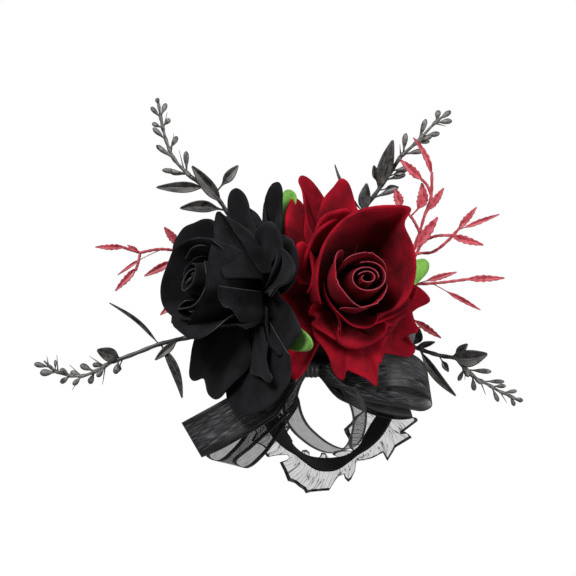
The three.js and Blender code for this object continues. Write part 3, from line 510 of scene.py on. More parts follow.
class Finish(Enum):
    """The finishes of the corsage's pieces."""

    # A velvet's last number is the tone of its painted shade at a petal's foot.
    BLACK_VELVET = Velvet("black_velvet", "#0a0a0b", "#1c1c1f", "#77777c", 0.3, 0.5)
    RED_VELVET = Velvet("red_velvet", "#5a0410", "#9c0920", "#ff3450", 0.1, 0.12)
    BLACK_EDGE = CutEdge("black_velvet_cut_edge", "#3c3c40")
    RED_EDGE = CutEdge("red_velvet_cut_edge", "#a02c3e")
    GREEN_FELT = Felt("green_felt", "#4e8429", "#7cb34a")
    GREEN_TAPE = Felt("green_tape", "#22401f", "#3c6233", 1.4)
    BLACK_FELT = Felt("black_felt", "#101011", "#2a2a2c")
    GREY_PLASTIC = MouldedPlastic("grey_plastic", "#1c1b1c", "#55524f", 0.32)
    BUD_PLASTIC = MouldedPlastic("grey_plastic_buds", "#2b2a2b", "#83817d", 0.36, 1.4)
    RED_PLASTIC = MouldedPlastic("red_plastic", "#9c2231", "#cd5c68", 0.4, 1.6)
    SHEER_RIBBON = Organza("sheer_ribbon", "#101012", "#6c6c71", 0.42, 15.0, 1.9, (2.2, 0.16))
    DENSE_RIBBON = Organza("dense_ribbon", "#0b0b0d", "#66666c", 0.86, 15.0, 2.0, (2.4, 0.14))
    FRILL = Organza("frill_organza", "#161618", "#98989c", 0.2, 25.0, 1.0, (0.12, 1.2), 0.4)
    WEBBING = Webbing("black_elastic", "#0a0a0b", "#2c2c2e")


@cache
def material_of(finish: Finish) -> bpy.types.Material:
    """Gives the material of a finish, which is built once."""
    return finish.value.build()


def dress(node: bpy.types.Object, finish: Finish) -> None:
    """Gives a CAD node that stays its finish."""
    for slot in node.material_slots:
        slot.material = material_of(finish)


# Meshes

def surface_mesh(
    surface: Surface, columns: int, rows: int, size_mm: Range, into: Mesh | None = None,
) -> Mesh:
    """Makes a grid and moves each of its points onto a surface.

    Args:
        surface: Gives a place in the row's frame for a place across and along, each from 0 to 1.
        columns: Faces across.
        rows: Faces along.
        size_mm: The width and length that the UV map gives the grid.
        into: A mesh to add the grid to.

    Returns:
        The mesh.
    """
    mesh = into or bmesh.new()
    cloth = mesh.loops.layers.uv.get(UV) or mesh.loops.layers.uv.new(UV)
    made = bmesh.ops.create_grid(mesh, x_segments=columns, y_segments=rows, size=0.5)
    places = {}
    for vert in made["verts"]:
        places[vert] = [min(max(value + 0.5, 0.0), 1.0) for value in vert.co.xy]
        vert.co = surface(*places[vert])
    for face in {face for vert in made["verts"] for face in vert.link_faces}:
        for loop in face.loops:
            loop[cloth].uv = [share * size for share, size in zip(places[loop.vert], size_mm)]
    return mesh


def tube_mesh(
    points: Sequence[Vector], radii: Sequence[float], sides: int, into: Mesh | None = None,
) -> Mesh:
    """Sweeps a ring along a line of points by extruding it, and closes both ends.

    Args:
        points: The line, in the row's frame.
        radii: The radius at each point, in metres.
        sides: Sides of the ring.
        into: A mesh to add the tube to.

    Returns:
        The mesh.
    """
    mesh = into or bmesh.new()
    if not mesh.loops.layers.uv.get(UV):
        mesh.loops.layers.uv.new(UV)
    ring = bmesh.ops.create_circle(mesh, segments=sides, radius=1.0, cap_ends=True)["verts"]
    shape = [vert.co.copy() for vert in ring]
    edges = list({edge for vert in ring for edge in vert.link_edges})
    start = ring[0].link_faces[0]
    ahead = (points[1] - points[0]).normalized()
    steep = abs(ahead.z) > 0.9
    side = ahead.cross(Vector((1, 0, 0)) if steep else Vector((0, 0, 1))).normalized()
    for index, (point, radius) in enumerate(zip(points, radii)):
        ahead = (points[min(index + 1, len(points) - 1)] - points[max(index - 1, 0)]).normalized()
        side = (side - ahead * side.dot(ahead)).normalized()
        other = ahead.cross(side)
        if index:
            made = bmesh.ops.extrude_edge_only(mesh, edges=edges)["geom"]
            fresh = {item for item in made if isinstance(item, bmesh.types.BMVert)}
            new_edges = [item for item in made if isinstance(item, bmesh.types.BMEdge)]
            edges = [edge for edge in new_edges if fresh.issuperset(edge.verts)]
            ring = [
                next(edge.other_vert(vert) for edge in vert.link_edges if edge.other_vert(vert) in fresh)
                for vert in ring
            ]
        for vert, corner in zip(ring, shape):
            vert.co = point + (side * corner.x + other * corner.y) * radius
    shell = {start, *bmesh.ops.contextual_create(mesh, geom=edges)["faces"]}
    wave = [start]
    while wave:
        near = {face for edge in wave.pop().edges for face in edge.link_faces} - shell
        shell |= near
        wave += near
    bmesh.ops.recalc_face_normals(mesh, faces=list(shell))
    return mesh


@dataclass(frozen=True)
class Wire:
    """How a stem or stalk is drawn: the swells along it as shares of its radius, and its sides."""

    swell: float
    beat: float
    sides: int

    def mesh(self, points: Sequence[Vector], radius: float, count: int, into: Mesh | None = None) -> Mesh:
        """Makes a knobbly tube.

        Args:
            points: The tube's line in the spray's frame, in millimetres.
            radius: Its middling radius in millimetres.
            count: Its stretches.
            into: A mesh to add it to.

        Returns:
            The mesh.
        """
        radii = [radius * MM * (1 + self.swell * math.sin(step * self.beat)) for step in range(count + 1)]
        return tube_mesh(spaced(points, count), radii, self.sides, into)


def make_piece(name: str, mesh: Mesh, finishes: Sequence[Finish]) -> bpy.types.Object:
    """Turns a mesh into a piece at the origin with its finishes.

    Args:
        name: The piece's name.
        mesh: Its mesh, which is freed.
        finishes: Its finishes, the first for its faces and a second for its rim.

    Returns:
        The new object.
    """
    data = bpy.data.meshes.new(name)
    mesh.to_mesh(data)
    mesh.free()
    for finish in finishes:
        data.materials.append(material_of(finish))
    for polygon in data.polygons:
        polygon.use_smooth = True
    piece = bpy.data.objects.new(name, data)
    bpy.context.scene.collection.objects.link(piece)
    LOG.info("%s: %d faces", name, len(data.polygons))
    return piece


def thicken(piece: bpy.types.Object, thickness_mm: float, smooth: int = 1, rim: int = 0) -> None:
    """Smooths a sheet and gives it a thickness about its middle.

    Args:
        piece: The sheet.
        thickness_mm: Its thickness in millimetres.
        smooth: Levels of subdivision.
        rim: How many material slots later the rim's finish is.
    """
    if smooth:
        finer = piece.modifiers.new("finer", "SUBSURF")
        finer.levels = finer.render_levels = smooth
    wall = piece.modifiers.new("thickness", "SOLIDIFY")
    wall.thickness = thickness_mm * MM
    wall.offset = 0.0
    wall.material_offset_rim = rim


# Roses

class Lean(Enum):
    """How a petal leans off the rose's axis, in degrees: at its foot, on its way and at its tip."""

    INNER = (72.0, -26.0, 12.0)
    CUP = (76.0, -18.0, 30.0)
    MID = (82.0, 12.0, 62.0)
    LOW = (88.0, 42.0, 86.0)
    LAST = (92.0, 70.0, 112.0)
    UPRIGHT = (84.0, 20.0, 30.0)


class Profile:
    """A line out from a rose's axis, worked out in small steps of its changing lean."""

    def __init__(self, start: Range, length: float, lean: Callable[[float], float], steps: int) -> None:
        """Works out the line's places.

        Args:
            start: The radius and the height where it starts, in millimetres.
            length: Its length in millimetres.
            lean: Gives its lean off the axis in radians at a share of its length.
            steps: How many steps it has.
        """
        self.steps = steps
        self.places = [start]
        for index in range(steps):
            radius, height = self.places[-1]
            angle = lean((index + 0.5) / steps)
            step = length / steps
            self.places.append((radius + math.sin(angle) * step, height + math.cos(angle) * step))

    def at(self, share: float) -> Range:
        """Finds a place on the line.

        Args:
            share: The share of its length.

        Returns:
            The radius and the height in millimetres.
        """
        low = min(int(share * self.steps), self.steps - 1)
        part = share * self.steps - low
        radius, height = [a + (b - a) * part for a, b in zip(self.places[low], self.places[low + 1])]
        return radius, height


@dataclass(frozen=True)
class Petal:
    """One die-cut petal that the photograph hides or hardly shows.

    It has a turn round the rose in degrees, shares of the standard petal's length and width, a
    lean, a cup round the axis as a share of full, its edges' roll in degrees, a point that is
    blunter the smaller it is, an opening of its halves in degrees, a flare at its tip in degrees
    and the share of its half width where the roll starts.
    """

    turn: float
    length: float
    width: float
    lean: Lean
    cup: float
    roll: float
    point: float = 0.7
    skew: float = 8.0
    flare: float = 0.0
    hem: float = 0.5

    def lean_at(self, share: float) -> float:
        """Gives the lean off the rose's axis, in radians, at a share of the length."""
        return math.radians(bend(self.lean.value, share) + self.flare * ease(share, 0.7, 1.0))

    def width_at(self, share: float) -> float:
        """Gives the petal's width, which is widest past its middle.

        Args:
            share: The share of its length.

        Returns:
            The share of its full width.
        """
        widest, foot, tip = 0.58, 0.3, 0.1
        if share < widest:
            return foot + (1 - foot) * math.sin(math.pi / 2 * share / widest)
        past = (share - widest) / (1 - widest)
        return tip + (1 - tip) * max(1 - past ** 2, 0.0) ** self.point


@dataclass(frozen=True)
class Fan:
    """One petal or sepal whose rim is read off the photograph.

    Each place on the rim is its pixels across and down and its height up the rose's axis in
    millimetres. Sag is how far the petal bellies out between the hub and the rim, and hem how far
    the rim is rolled back, both in millimetres.
    """

    rim: tuple[Pixel, ...]
    sag: float
    hem: float = 0.0


@dataclass(frozen=True)
class Sepal:
    """One hidden sepal: its turn round the rose, its share of the standard length, its lean."""

    turn: float
    length: float
    lean: tuple[float, float, float]

    def lean_at(self, share: float) -> float:
        """Gives the lean off the rose's axis, in radians, at a share of the length."""
        return math.radians(bend(self.lean, share))


@dataclass(frozen=True)
class Strip:
    """One rolled strip of a bud, in millimetres: its radius, turns, pitch, start in radians, height."""

    radius: float
    turns: float
    pitch: float
    start: float
    height: float


@dataclass
class Rose:
    """One cloth rose: a rolled bud, five layers of petals and a felt calyx, threaded on a stem."""

    name: str
    base: Pixel
    side_turn: float
    up_turn: float
    layers: dict[str, list[Petal | Fan]]
    sepals: tuple[Fan | Sepal, ...]
    cloth: Finish
    edge: Finish
    slot: str
    petal_length: float = 40.0
    petal_width: float = 34.0
    petal_thickness: float = 0.42
    petal_ripple: float = 1.6
    # A petal's edges roll from this share of its length on, and the fold narrows by this share.
    roll_start: float = 0.35
    fold_narrowing: float = 0.84
    hub_radius: float = 5.0
    layer_step: float = 1.5
    layer_foot: float = 0.6
    # What the UV map gives a fan round its rim and out from its hub.
    fan_size: Range = (40.0, 30.0)
    fan_ripple: float = 1.3
    fan_foot_share: float = 0.4
    # The rim is traced at its edge and smoothed by its neighbours this far round toward the hub.
    fan_smoothing: float = 0.08
    fan_hem_share: float = 0.1
    fan_hem_turn: float = 0.7 * math.pi
    bud_radius: float = 5.6
    bud_height: float = 19.0
    bud_pitch: float = 2.1
    bud_shift: Range = (0.0, 0.0)
    bud_waist: float = 0.25
    bud_flare: float = 0.12
    bud_oval: float = 0.09
    bud_dip: float = 0.08
    inner_share: float = 0.46
    inner_pitch: float = 1.6
    inner_height_share: float = 0.98
    calyx_radius: float = 6.0
    calyx_neck: float = 3.2
    calyx_depth: float = 7.0
    calyx_gap: float = 0.3
    calyx_thickness: float = 0.8
    sepal_foot: float = -1.3
    sepal_length: float = 33.0
    sepal_width: float = 12.0
    # A die-cut petal fills this share of its width times its length.
    petal_fill: float = 0.72
    layer_allowance: float = 1.4
    order: tuple[str, ...] = ("lowest", "outer", "middle", "cup", "inner")
    matrix: Matrix = field(init=False)

    def __post_init__(self) -> None:
        """Works out the rose's own frame, with z along its axis."""
        turn = Matrix.Rotation(math.radians(self.side_turn), 3, "Y")
        self.matrix = turn @ Matrix.Rotation(math.radians(-self.up_turn), 3, "X")

    def to_row(self, point: Vector) -> Vector:
        """Turns a place in the rose's frame, in millimetres, into one in the row's frame."""
        return from_face(face_place(self.base) + self.matrix @ point)

    def petal_place(self, petal: Petal, profile: Profile, across_share: float, share: float) -> Vector:
        """Gives a place on a petal, which is cupped round the axis and rolled back at its edges.

        Args:
            petal: The petal.
            profile: Its middle line.
            across_share: The share of its width.
            share: The share of its length.

        Returns:
            The place in the row's frame.
        """
        radius, rise = profile.at(share)
        angle = petal.lean_at(share)
        across = 2 * across_share - 1
        half = self.petal_width * petal.width * petal.width_at(share) / 2
        edge_cup = petal.cup * half / max(radius, self.hub_radius)
        edge_roll = math.radians(petal.roll) * ease(share, self.roll_start, 1.0)
        opening = math.copysign(math.radians(petal.skew) * ease(share, 0.0, 0.5), across)
        fold = petal.hem * (1 - self.fold_narrowing * ease(share, 0.6, 1.0))
        along = inward = 0.0
        parts = 14
        for index in range(parts):
            reach = abs(across) * (index + 0.5) / parts
            turned = edge_cup * reach - max(reach - fold, 0.0) / (1 - fold) * edge_roll + opening
            along += math.cos(turned) * abs(across) * half / parts
            inward += math.sin(turned) * abs(across) * half / parts
        seed = petal.turn * 0.37 + profile.places[0][1]
        ripple = noise.noise(Vector((across * 1.7, share * 2.6, seed))) * self.petal_ripple
        inward += ripple * abs(across) * ease(share, 0.2, 0.9)
        outward, sideways = compass(petal.turn)
        point = outward * (radius - inward * math.cos(angle)) + sideways * math.copysign(along, across)
        point.z = rise + inward * math.sin(angle)
        return self.to_row(point)

    def rim_place(self, pixel: Pixel) -> Vector:
        """Finds the place that a pixel shows at a height up the rose's axis.

        Args:
            pixel: Pixels across and down, and the height in millimetres.

        Returns:
            The place in the spray's frame, in millimetres.
        """
        axis = self.matrix @ Vector((0, 0, 1))
        place = face_place((pixel[0], pixel[1], self.base[2]))
        place.z += (pixel[2] - axis.dot(place - face_place(self.base))) / axis.z
        return place

    def fan_surface(self, fan: Fan, height: float) -> Surface:
        """Gives the surface of a petal read off the photograph.

        Args:
            fan: The petal.
            height: The height of its hub on the rose's axis, in millimetres.

        Returns:
            The surface, which runs round the rim and out from the hub.
        """
        axis = self.matrix @ Vector((0, 0, 1))
        rim = [self.rim_place(pixel) for pixel in fan.rim]
        return partial(self.fan_place, fan, rim, face_place(self.base) + axis * height, axis)

    def fan_place(
        self, fan: Fan, rim: list[Vector], hub: Vector, axis: Vector, across: float, along: float,
    ) -> Vector:
        """Gives a place on a petal read off the photograph.

        Args:
            fan: The petal.
            rim: Its rim in the spray's frame.
            hub: Its hub in the spray's frame.
            axis: The rose's axis in the spray's frame.
            across: The share of the way round the rim.
            along: The share of the way out, whose last part is the hem if it has one.

        Returns:
            The place in the row's frame.
        """
        body = 1 - self.fan_hem_share if fan.hem else 1.0
        share = min(along / body, 1.0)
        edge = spline(rim, across)
        beside = spline(rim, max(across - self.fan_smoothing, 0))
        beside += spline(rim, min(across + self.fan_smoothing, 1))
        edge = ((edge + beside) / 3).lerp(edge, share ** 3)
        radial = edge - hub
        radial = (radial - axis * radial.dot(axis)).normalized()
        place = (hub + radial * self.hub_radius * self.fan_foot_share).lerp(edge, share)
        place += (radial - axis).normalized() * (fan.sag * math.sin(math.pi * share ** 0.85))
        ripple = noise.noise(Vector((across * 5, share * 2.2, fan.rim[0][0]))) * self.fan_ripple
        place += axis * (ripple * math.sin(math.pi * min(share, 0.8)))
        if along > body:
            turn = (along - body) / (1 - body) * self.fan_hem_turn
            place += (radial * math.sin(turn) - axis * (1 - math.cos(turn))) * (fan.hem / 2)
        return from_face(place)

    def add_petal(self, mesh: Mesh, petal: Petal | Fan, height: float) -> float:
        """Adds one petal to its layer.

        Args:
            mesh: The layer's mesh.
            petal: The petal.
            height: The height of its hub on the rose's axis, in millimetres.

        Returns:
            Its area in square millimetres.
        """
        if isinstance(petal, Fan):
            surface_mesh(self.fan_surface(petal, height), 36, 12, self.fan_size, mesh)
            hub = face_place(self.base)
            spokes = [self.rim_place(pixel) - hub for pixel in petal.rim]
            return sum(a.cross(b).length / 2 for a, b in zip(spokes, spokes[1:]))
        width, length = self.petal_width * petal.width, self.petal_length * petal.length
        profile = Profile((self.hub_radius * 0.5, height), length, petal.lean_at, 48)
        surface_mesh(partial(self.petal_place, petal, profile), 12, 14, (width, length), mesh)
        return width * length * self.petal_fill

    def make_layers(self) -> None:
        """Makes each layer of petals on its hub as one piece of cloth."""
        for layer, petals in self.layers.items():
            height = self.order.index(layer) * self.layer_step + self.layer_foot
            mesh = bmesh.new()
            area = sum(self.add_petal(mesh, petal, height) for petal in petals)
            area += math.pi * self.hub_radius ** 2
            hub = bmesh.ops.create_circle(mesh, segments=20, radius=self.hub_radius * 0.62, cap_ends=True)
            for vert in hub["verts"]:
                vert.co = self.to_row(Vector((vert.co.x, vert.co.y, height)))
            piece = make_piece(f"{self.name}_{layer}_layer", mesh, (self.cloth, self.edge))
            thicken(piece, self.petal_thickness, 1, 1)
            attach(piece, SPRAY)
            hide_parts(f"{self.name}_{layer}_petals")
            area *= MM * MM

    def bud_place(self, strip: Strip, across: float, up: float) -> Vector:
        """Gives a place on a rolled strip, which swells at its middle and opens at its top.

        Args:
            strip: The strip.
            across: The share of its way round, from the inside out.
            up: The share of its height.

        Returns:
            The place in the row's frame.
        """
        angle = 2 * math.pi * strip.turns * across + strip.start
        reach = strip.radius - strip.pitch * strip.turns * (1 - across)
        reach *= 1 - self.bud_waist * (2 * up - 1) ** 2
        reach *= 1 + self.bud_flare * ease(up, 0.85, 1.0) * across
        reach *= 1 + self.bud_oval * math.sin(2 * angle + 1)
        height = up * strip.height * (1 - self.bud_dip * math.sin(angle * 0.9) * up)
        aside, lift = [shift * ease(up, -0.3, 0.6) for shift in self.bud_shift]
        floor = len(self.order) * self.layer_step
        return self.to_row(Vector((
            reach * math.cos(angle) + aside, reach * math.sin(angle) + lift, floor + height,
        )))

    def make_bud(self) -> None:
        """Makes the rolled bud of two strips, the inner one tighter and a little lower."""
        mesh = bmesh.new()
        for strip in (
            Strip(self.bud_radius, 1.3, self.bud_pitch, 0.0, self.bud_height),
            Strip(
                self.bud_radius * self.inner_share, 1.1, self.inner_pitch, 2.0,
                self.bud_height * self.inner_height_share,
            ),
        ):
            surface_mesh(partial(self.bud_place, strip), 56, 10, (40.0, strip.height), mesh)
        piece = make_piece(f"{self.name}_rolled_bud", mesh, (self.cloth, self.edge))
        thicken(piece, self.petal_thickness, 1, 1)
        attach(piece, SPRAY)
        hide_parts(f"{self.name}_bud")

    def make_calyx(self) -> None:
        """Makes the felt calyx: a hollow cone with pointed sepals."""
        floor = -self.calyx_gap - self.calyx_depth
        heights = (floor, floor * 0.6, floor * 0.3, -self.calyx_gap)
        radii = (self.calyx_neck, self.calyx_neck * 1.2, self.calyx_radius * 0.9, self.calyx_radius)
        points = [self.to_row(Vector((0, 0, height))) for height in heights]
        mesh = tube_mesh(points, [radius * MM for radius in radii], 20)
        for sepal in self.sepals:
            if isinstance(sepal, Fan):
                surface = self.fan_surface(sepal, self.sepal_foot)
            else:
                start = (self.calyx_neck, self.sepal_foot)
                profile = Profile(start, self.sepal_length * sepal.length, sepal.lean_at, 24)
                surface = partial(self.sepal_place, sepal, profile)
            surface_mesh(surface, 16, 12, (12.0, 30.0), mesh)
        piece = make_piece(f"{self.name}_felt_calyx", mesh, (Finish.GREEN_FELT,))
        thicken(piece, self.calyx_thickness)
        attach(piece, SPRAY)
        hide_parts(f"{self.name}_calyx")

    def sepal_place(self, sepal: Sepal, profile: Profile, across: float, along: float) -> Vector:
        """Gives a place on a sepal, which is folded up at its edges and pointed at its tip.

        Args:
            sepal: The sepal.
            profile: Its middle line.
            across: The share of its width.
            along: The share of its length.

        Returns:
            The place in the row's frame.
        """
        radius, rise = profile.at(along)
        swell = 0.5 + 0.5 * math.sin(math.pi * min(along + 0.25, 1.0))
        half = self.sepal_width / 2 * swell * (1 - along ** 6 * 0.75)
        outward, sideways = compass(sepal.turn)
        point = outward * radius + sideways * ((2 * across - 1) * half)
        point.z = rise + (2 * across - 1) ** 2 * half * 0.25
        return self.to_row(point)

    def make(self) -> None:
        """Makes the whole rose but its stem."""
        self.make_layers()
        self.make_bud()
        self.make_calyx()


# Bow

@dataclass(frozen=True)
class Loop:
    """One loop of the bow: its ends' places in the tie, its way and how its width turns."""

    name: str
    start: tuple[int, int]
    end: tuple[int, int]
    pixels: tuple[Pixel, ...]
    side: tuple[float, float, float]
    finish: Finish = Finish.SHEER_RIBBON
    back_side: tuple[float, float, float] | None = None


@dataclass
class Bow:
    """A bow of sheer 15 mm ribbon, gathered in a tie of the same ribbon."""

    loops: tuple[Loop, ...]
    tie: Pixel = (312.0, 369.0, 49.0)
    width: float = 15.0
    thickness: float = 0.25
    wave_depth: float = 0.7
    tie_radius: float = 2.8
    tie_length: float = 8.0
    tie_taper: float = 0.18
    tie_rib: float = 0.05
    tie_ribs: int = 5
    end_gap: float = -1.5
    end_step: float = 1.1
    gathered_share: float = 0.33
    gather_length_share: float = 0.2
    pleat_count: int = 7
    pleat_depth: float = 0.7

    def loop_points(self, loop: Loop) -> list[Vector]:
        """Gives a loop's middle line in the spray's frame."""
        ends = [
            face_place(self.tie)
            + Vector((side * (self.tie_length / 2 + self.end_gap), 0, place * self.end_step))
            for side, place in (loop.start, loop.end)
        ]
        return [ends[0], *[face_place(pixel) for pixel in loop.pixels], ends[1]]

    def loop_place(self, loop: Loop, points: Sequence[Vector], across: float, along: float) -> Vector:
        """Gives a place on a loop, which is gathered in pleats at both ends.

        Args:
            loop: The loop.
            points: Its middle line in the spray's frame.
            across: The share of its width.
            along: The share of its length.

        Returns:
            The place in the row's frame.
        """
        front = Vector(loop.side).normalized()
        back = Vector(loop.back_side or loop.side).normalized()
        free = ease(min(along, 1 - along), 0.0, self.gather_length_share)
        side = Vector((0, -1, 0)).lerp(front.lerp(back, ease(along, 0.3, 0.7)), free).normalized()
        width = self.width * (self.gathered_share + (1 - self.gathered_share) * free)
        place = spline(points, along) + side * ((across - 0.5) * width)
        place.z += math.sin(across * math.pi * self.pleat_count) * self.pleat_depth * (1 - free)
        place.z += noise.noise(Vector((across * 2, along * 9, loop.start[1]))) * self.wave_depth * free
        return from_face(place)

    def make(self) -> None:
        """Makes the loops and the tie."""
        for loop in self.loops:
            points = self.loop_points(loop)
            length = sum((b - a).length for a, b in zip(points, points[1:]))
            mesh = surface_mesh(partial(self.loop_place, loop, points), 10, 72, (self.width, length))
            piece = make_piece(f"ribbon_{loop.name}", mesh, (loop.finish,))
            thicken(piece, self.thickness)
            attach(piece, SPRAY)
            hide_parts(f"bow_loop_{loop.name}")
        self.make_tie()

    def make_tie(self) -> None:
        """Makes the tie: ribbon wound round the gathered ends."""
        middle = face_place(self.tie)
        count = 26
        points, radii = [], []
        for index in range(count + 1):
            share = index / count
            swell = 1 - self.tie_taper * (1 - math.sin(math.pi * share))
            swell += self.tie_rib * math.sin(2 * math.pi * self.tie_ribs * share)
            points.append(from_face(middle + Vector(((share - 0.5) * self.tie_length, 0, 0))))
            radii.append(self.tie_radius * swell * MM)
        mesh = tube_mesh(points, radii, 20)
        piece = make_piece("ribbon_tie", mesh, (Finish.DENSE_RIBBON,))
        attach(piece, SPRAY)
        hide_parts("bow_tie")


# Sprigs and ferns

@dataclass
class Bundle:
    """The taped bundle that gathers the stems behind the roses, and the roses' own stems."""

    radius: float = 4.5
    side: float = -9.0
    foot_height: float = 22.0
    top_height: float = 54.0
    foot_depth: float = -2.0
    top_depth: float = -8.0
    stem_gap: float = 0.5

    def stem(self, height: float, pixels: Sequence[Pixel]) -> list[Vector]:
        """Gives a stem's line from just off the bundle's skin through some places.

        Args:
            height: How high up the spray it starts.
            pixels: The places, the first of which it starts toward.

        Returns:
            The line in the spray's frame.
        """
        share = (height - self.foot_height) / (self.top_height - self.foot_height)
        depth = self.foot_depth + (self.top_depth - self.foot_depth) * share
        middle = Vector((self.side, height, depth))
        places = [face_place(pixel) for pixel in pixels]
        way = places[0] - middle
        way.y = 0
        return [middle + way.normalized() * (self.radius + self.stem_gap), *places]

    def make(self, nodes: dict[str, bpy.types.Object]) -> None:
        """Dresses the bundle and the roses' stems, whose solids are right as they are."""
        for node in ("stem_bundle", "rose_black_stem", "rose_red_stem"):
            dress(nodes[node], Finish.GREEN_TAPE)


@dataclass(frozen=True)
class Leaf:
    """A leaf from a place on its stalk to its tip: width, narrow foot and sideways bow in pixels.

    Fold is how steeply its halves rise from its midrib, and teeth how deep its edge is cut.
    Groove, in millimetres, is how deep the midrib lies, and sway how far the blade waves.
    """

    start: float
    tip: Pixel
    width: float
    foot: float
    bow: float = 0.0
    fold: float = 0.6
    teeth: float = 0.0
    groove: float = 0.12
    sway: float = 0.25
    stalk_share: float = 0.12

    def place(self, start: Vector, across_share: float, share: float) -> Vector:
        """Gives a place on the leaf.

        Args:
            start: Where the leaf starts, in the spray's frame.
            across_share: The share of its width.
            share: The share of its length.

        Returns:
            The place in the row's frame.
        """
        along = face_place(self.tip) - start
        side = along.cross(Vector((0, 0, 1))).normalized()
        blade = min(max((share - self.foot) / (1 - self.foot), 0.0), 1.0)
        shape = max(math.sin(math.pi * blade ** 0.72), 0.0) ** 0.9
        teeth = 1 + self.teeth * (math.sin(blade * math.pi * 11) - 0.4) * min(blade * 4, 1.0)
        off = 2 * across_share - 1
        wide = self.stalk_share + (1 - self.stalk_share) * shape * teeth
        across = off * self.width * PIXEL_MM / 2 * wide
        bow = self.bow * PIXEL_MM * math.sin(math.pi * share)
        point = start + along * share + side * (across - bow)
        point.z += abs(across) * self.fold - self.groove * (1 - abs(off)) ** 4 * shape
        point.z += self.sway * math.sin(share * 9 + self.width) * shape * off
        return from_face(point)

    def add(self, mesh: Mesh, start: Vector) -> None:
        """Adds the leaf to a mesh, from its start in the spray's frame."""
        size = (self.width * PIXEL_MM, (face_place(self.tip) - start).length)
        surface_mesh(partial(self.place, start), 8, 22 if self.teeth else 12, size, mesh)


@dataclass(frozen=True)
class Bud:
    """A bud from its place on the spike, or on the stalk if below 0, to its tip's pixels.

    Forward is how far the tip is before its foot in pixels, and radius is in millimetres. A thin
    one is a bract.
    """

    start: float
    across: float
    down: float
    forward: float = 0.0
    radius: float = 1.05

    def add(self, mesh: Mesh, foot: Vector, thinnest: float) -> None:
        """Adds the bud to a mesh: a thin stalk that swells to a round end, or a pointed bract.

        Args:
            mesh: The mesh it goes into.
            foot: Where it starts, in the spray's frame.
            thinnest: The least radius of a bud in millimetres.
        """
        tip = from_face(face_place((self.across, self.down, foot.z / PIXEL_MM + self.forward)))
        foot = from_face(foot)
        if self.radius <= thinnest:
            tube_mesh([foot, tip], [self.radius * MM, 0.1 * MM], 5, mesh)
            return
        shares = (0.0, 0.2, 0.34, 0.5, 0.68, 0.85, 0.95, 1.0)
        widths = (0.3, 0.3, 0.42, 0.78, 1.0, 0.92, 0.6, 0.2)
        radii = [self.radius * MM * width for width in widths]
        tube_mesh([foot.lerp(tip, share) for share in shares], radii, 7, mesh)


@dataclass
class Sprig:
    """A bud sprig: a wired stem, a whorl of leaves and a spike of club-shaped buds."""

    name: str
    root_height: float
    stem: tuple[Pixel, Pixel]
    stalk: tuple[Pixel, ...]
    spike: tuple[Pixel, ...]
    leaves: tuple[Leaf, ...]
    buds: tuple[Bud, ...]
    wire: Wire = Wire(0.1, 1.7, 9)
    stem_radius: float = 0.9
    stalk_share: float = 0.9
    core_radius: float = 0.6
    core_taper: float = 0.4
    # The core swells by this share where a bud leaves it, over this share of its length.
    knot_swell: float = 0.5
    knot_share: float = 0.06
    thinnest_bud: float = 0.5
    leaf_thickness: float = 0.45

    def make(self, bundle: Bundle) -> None:
        """Makes the sprig's four pieces.

        Args:
            bundle: The bundle that the stem starts on.
        """
        body = f"sprig_{self.name}"
        mesh = self.wire.mesh(bundle.stem(self.root_height, self.stem), self.stem_radius, 20)
        self.finish(make_piece(f"{body}_wire", mesh, (Finish.GREY_PLASTIC,)), body, "stem")

        stalk = [face_place(pixel) for pixel in self.stalk]
        mesh = self.wire.mesh(stalk, self.stem_radius * self.stalk_share, 16)
        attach(make_piece(f"{body}_stalk", mesh, (Finish.GREY_PLASTIC,)), body)
        mesh = bmesh.new()
        for leaf in self.leaves:
            leaf.add(mesh, spline(stalk, leaf.start))
        piece = make_piece(f"{body}_foliage", mesh, (Finish.GREY_PLASTIC,))
        thicken(piece, self.leaf_thickness)
        self.finish(piece, body, "leaves")

        piece = make_piece(f"{body}_spike", self.spike_mesh(stalk), (Finish.BUD_PLASTIC,))
        self.finish(piece, body, "buds")

    def spike_mesh(self, stalk: Sequence[Vector]) -> Mesh:
        """Makes the spike: its core, with buds and fine bracts.

        Args:
            stalk: The stalk's line in the spray's frame, which the lowest buds grow from.

        Returns:
            The mesh.
        """
        curve = [face_place(pixel) for pixel in self.spike]
        count = 30
        knots = [bud.start for bud in self.buds if bud.radius > self.thinnest_bud]
        radii = []
        for index in range(count + 1):
            near = min(abs(index / count - knot) for knot in knots)
            swell = 1.1 - self.core_taper * index / count
            swell += self.knot_swell * (1 - ease(near, 0.0, self.knot_share))
            radii.append(self.core_radius * MM * swell)
        mesh = tube_mesh(spaced(curve, count), radii, 8)
        for bud in self.buds:
            foot = spline(curve, bud.start) if bud.start >= 0 else spline(stalk, 1 + bud.start)
            bud.add(mesh, foot, self.thinnest_bud)
        return mesh

    def finish(self, piece: bpy.types.Object, body: str, node: str) -> None:
        """Makes a piece ride on the sprig and stand for its node."""
        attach(piece, body)
        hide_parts(f"{body}_{node}")


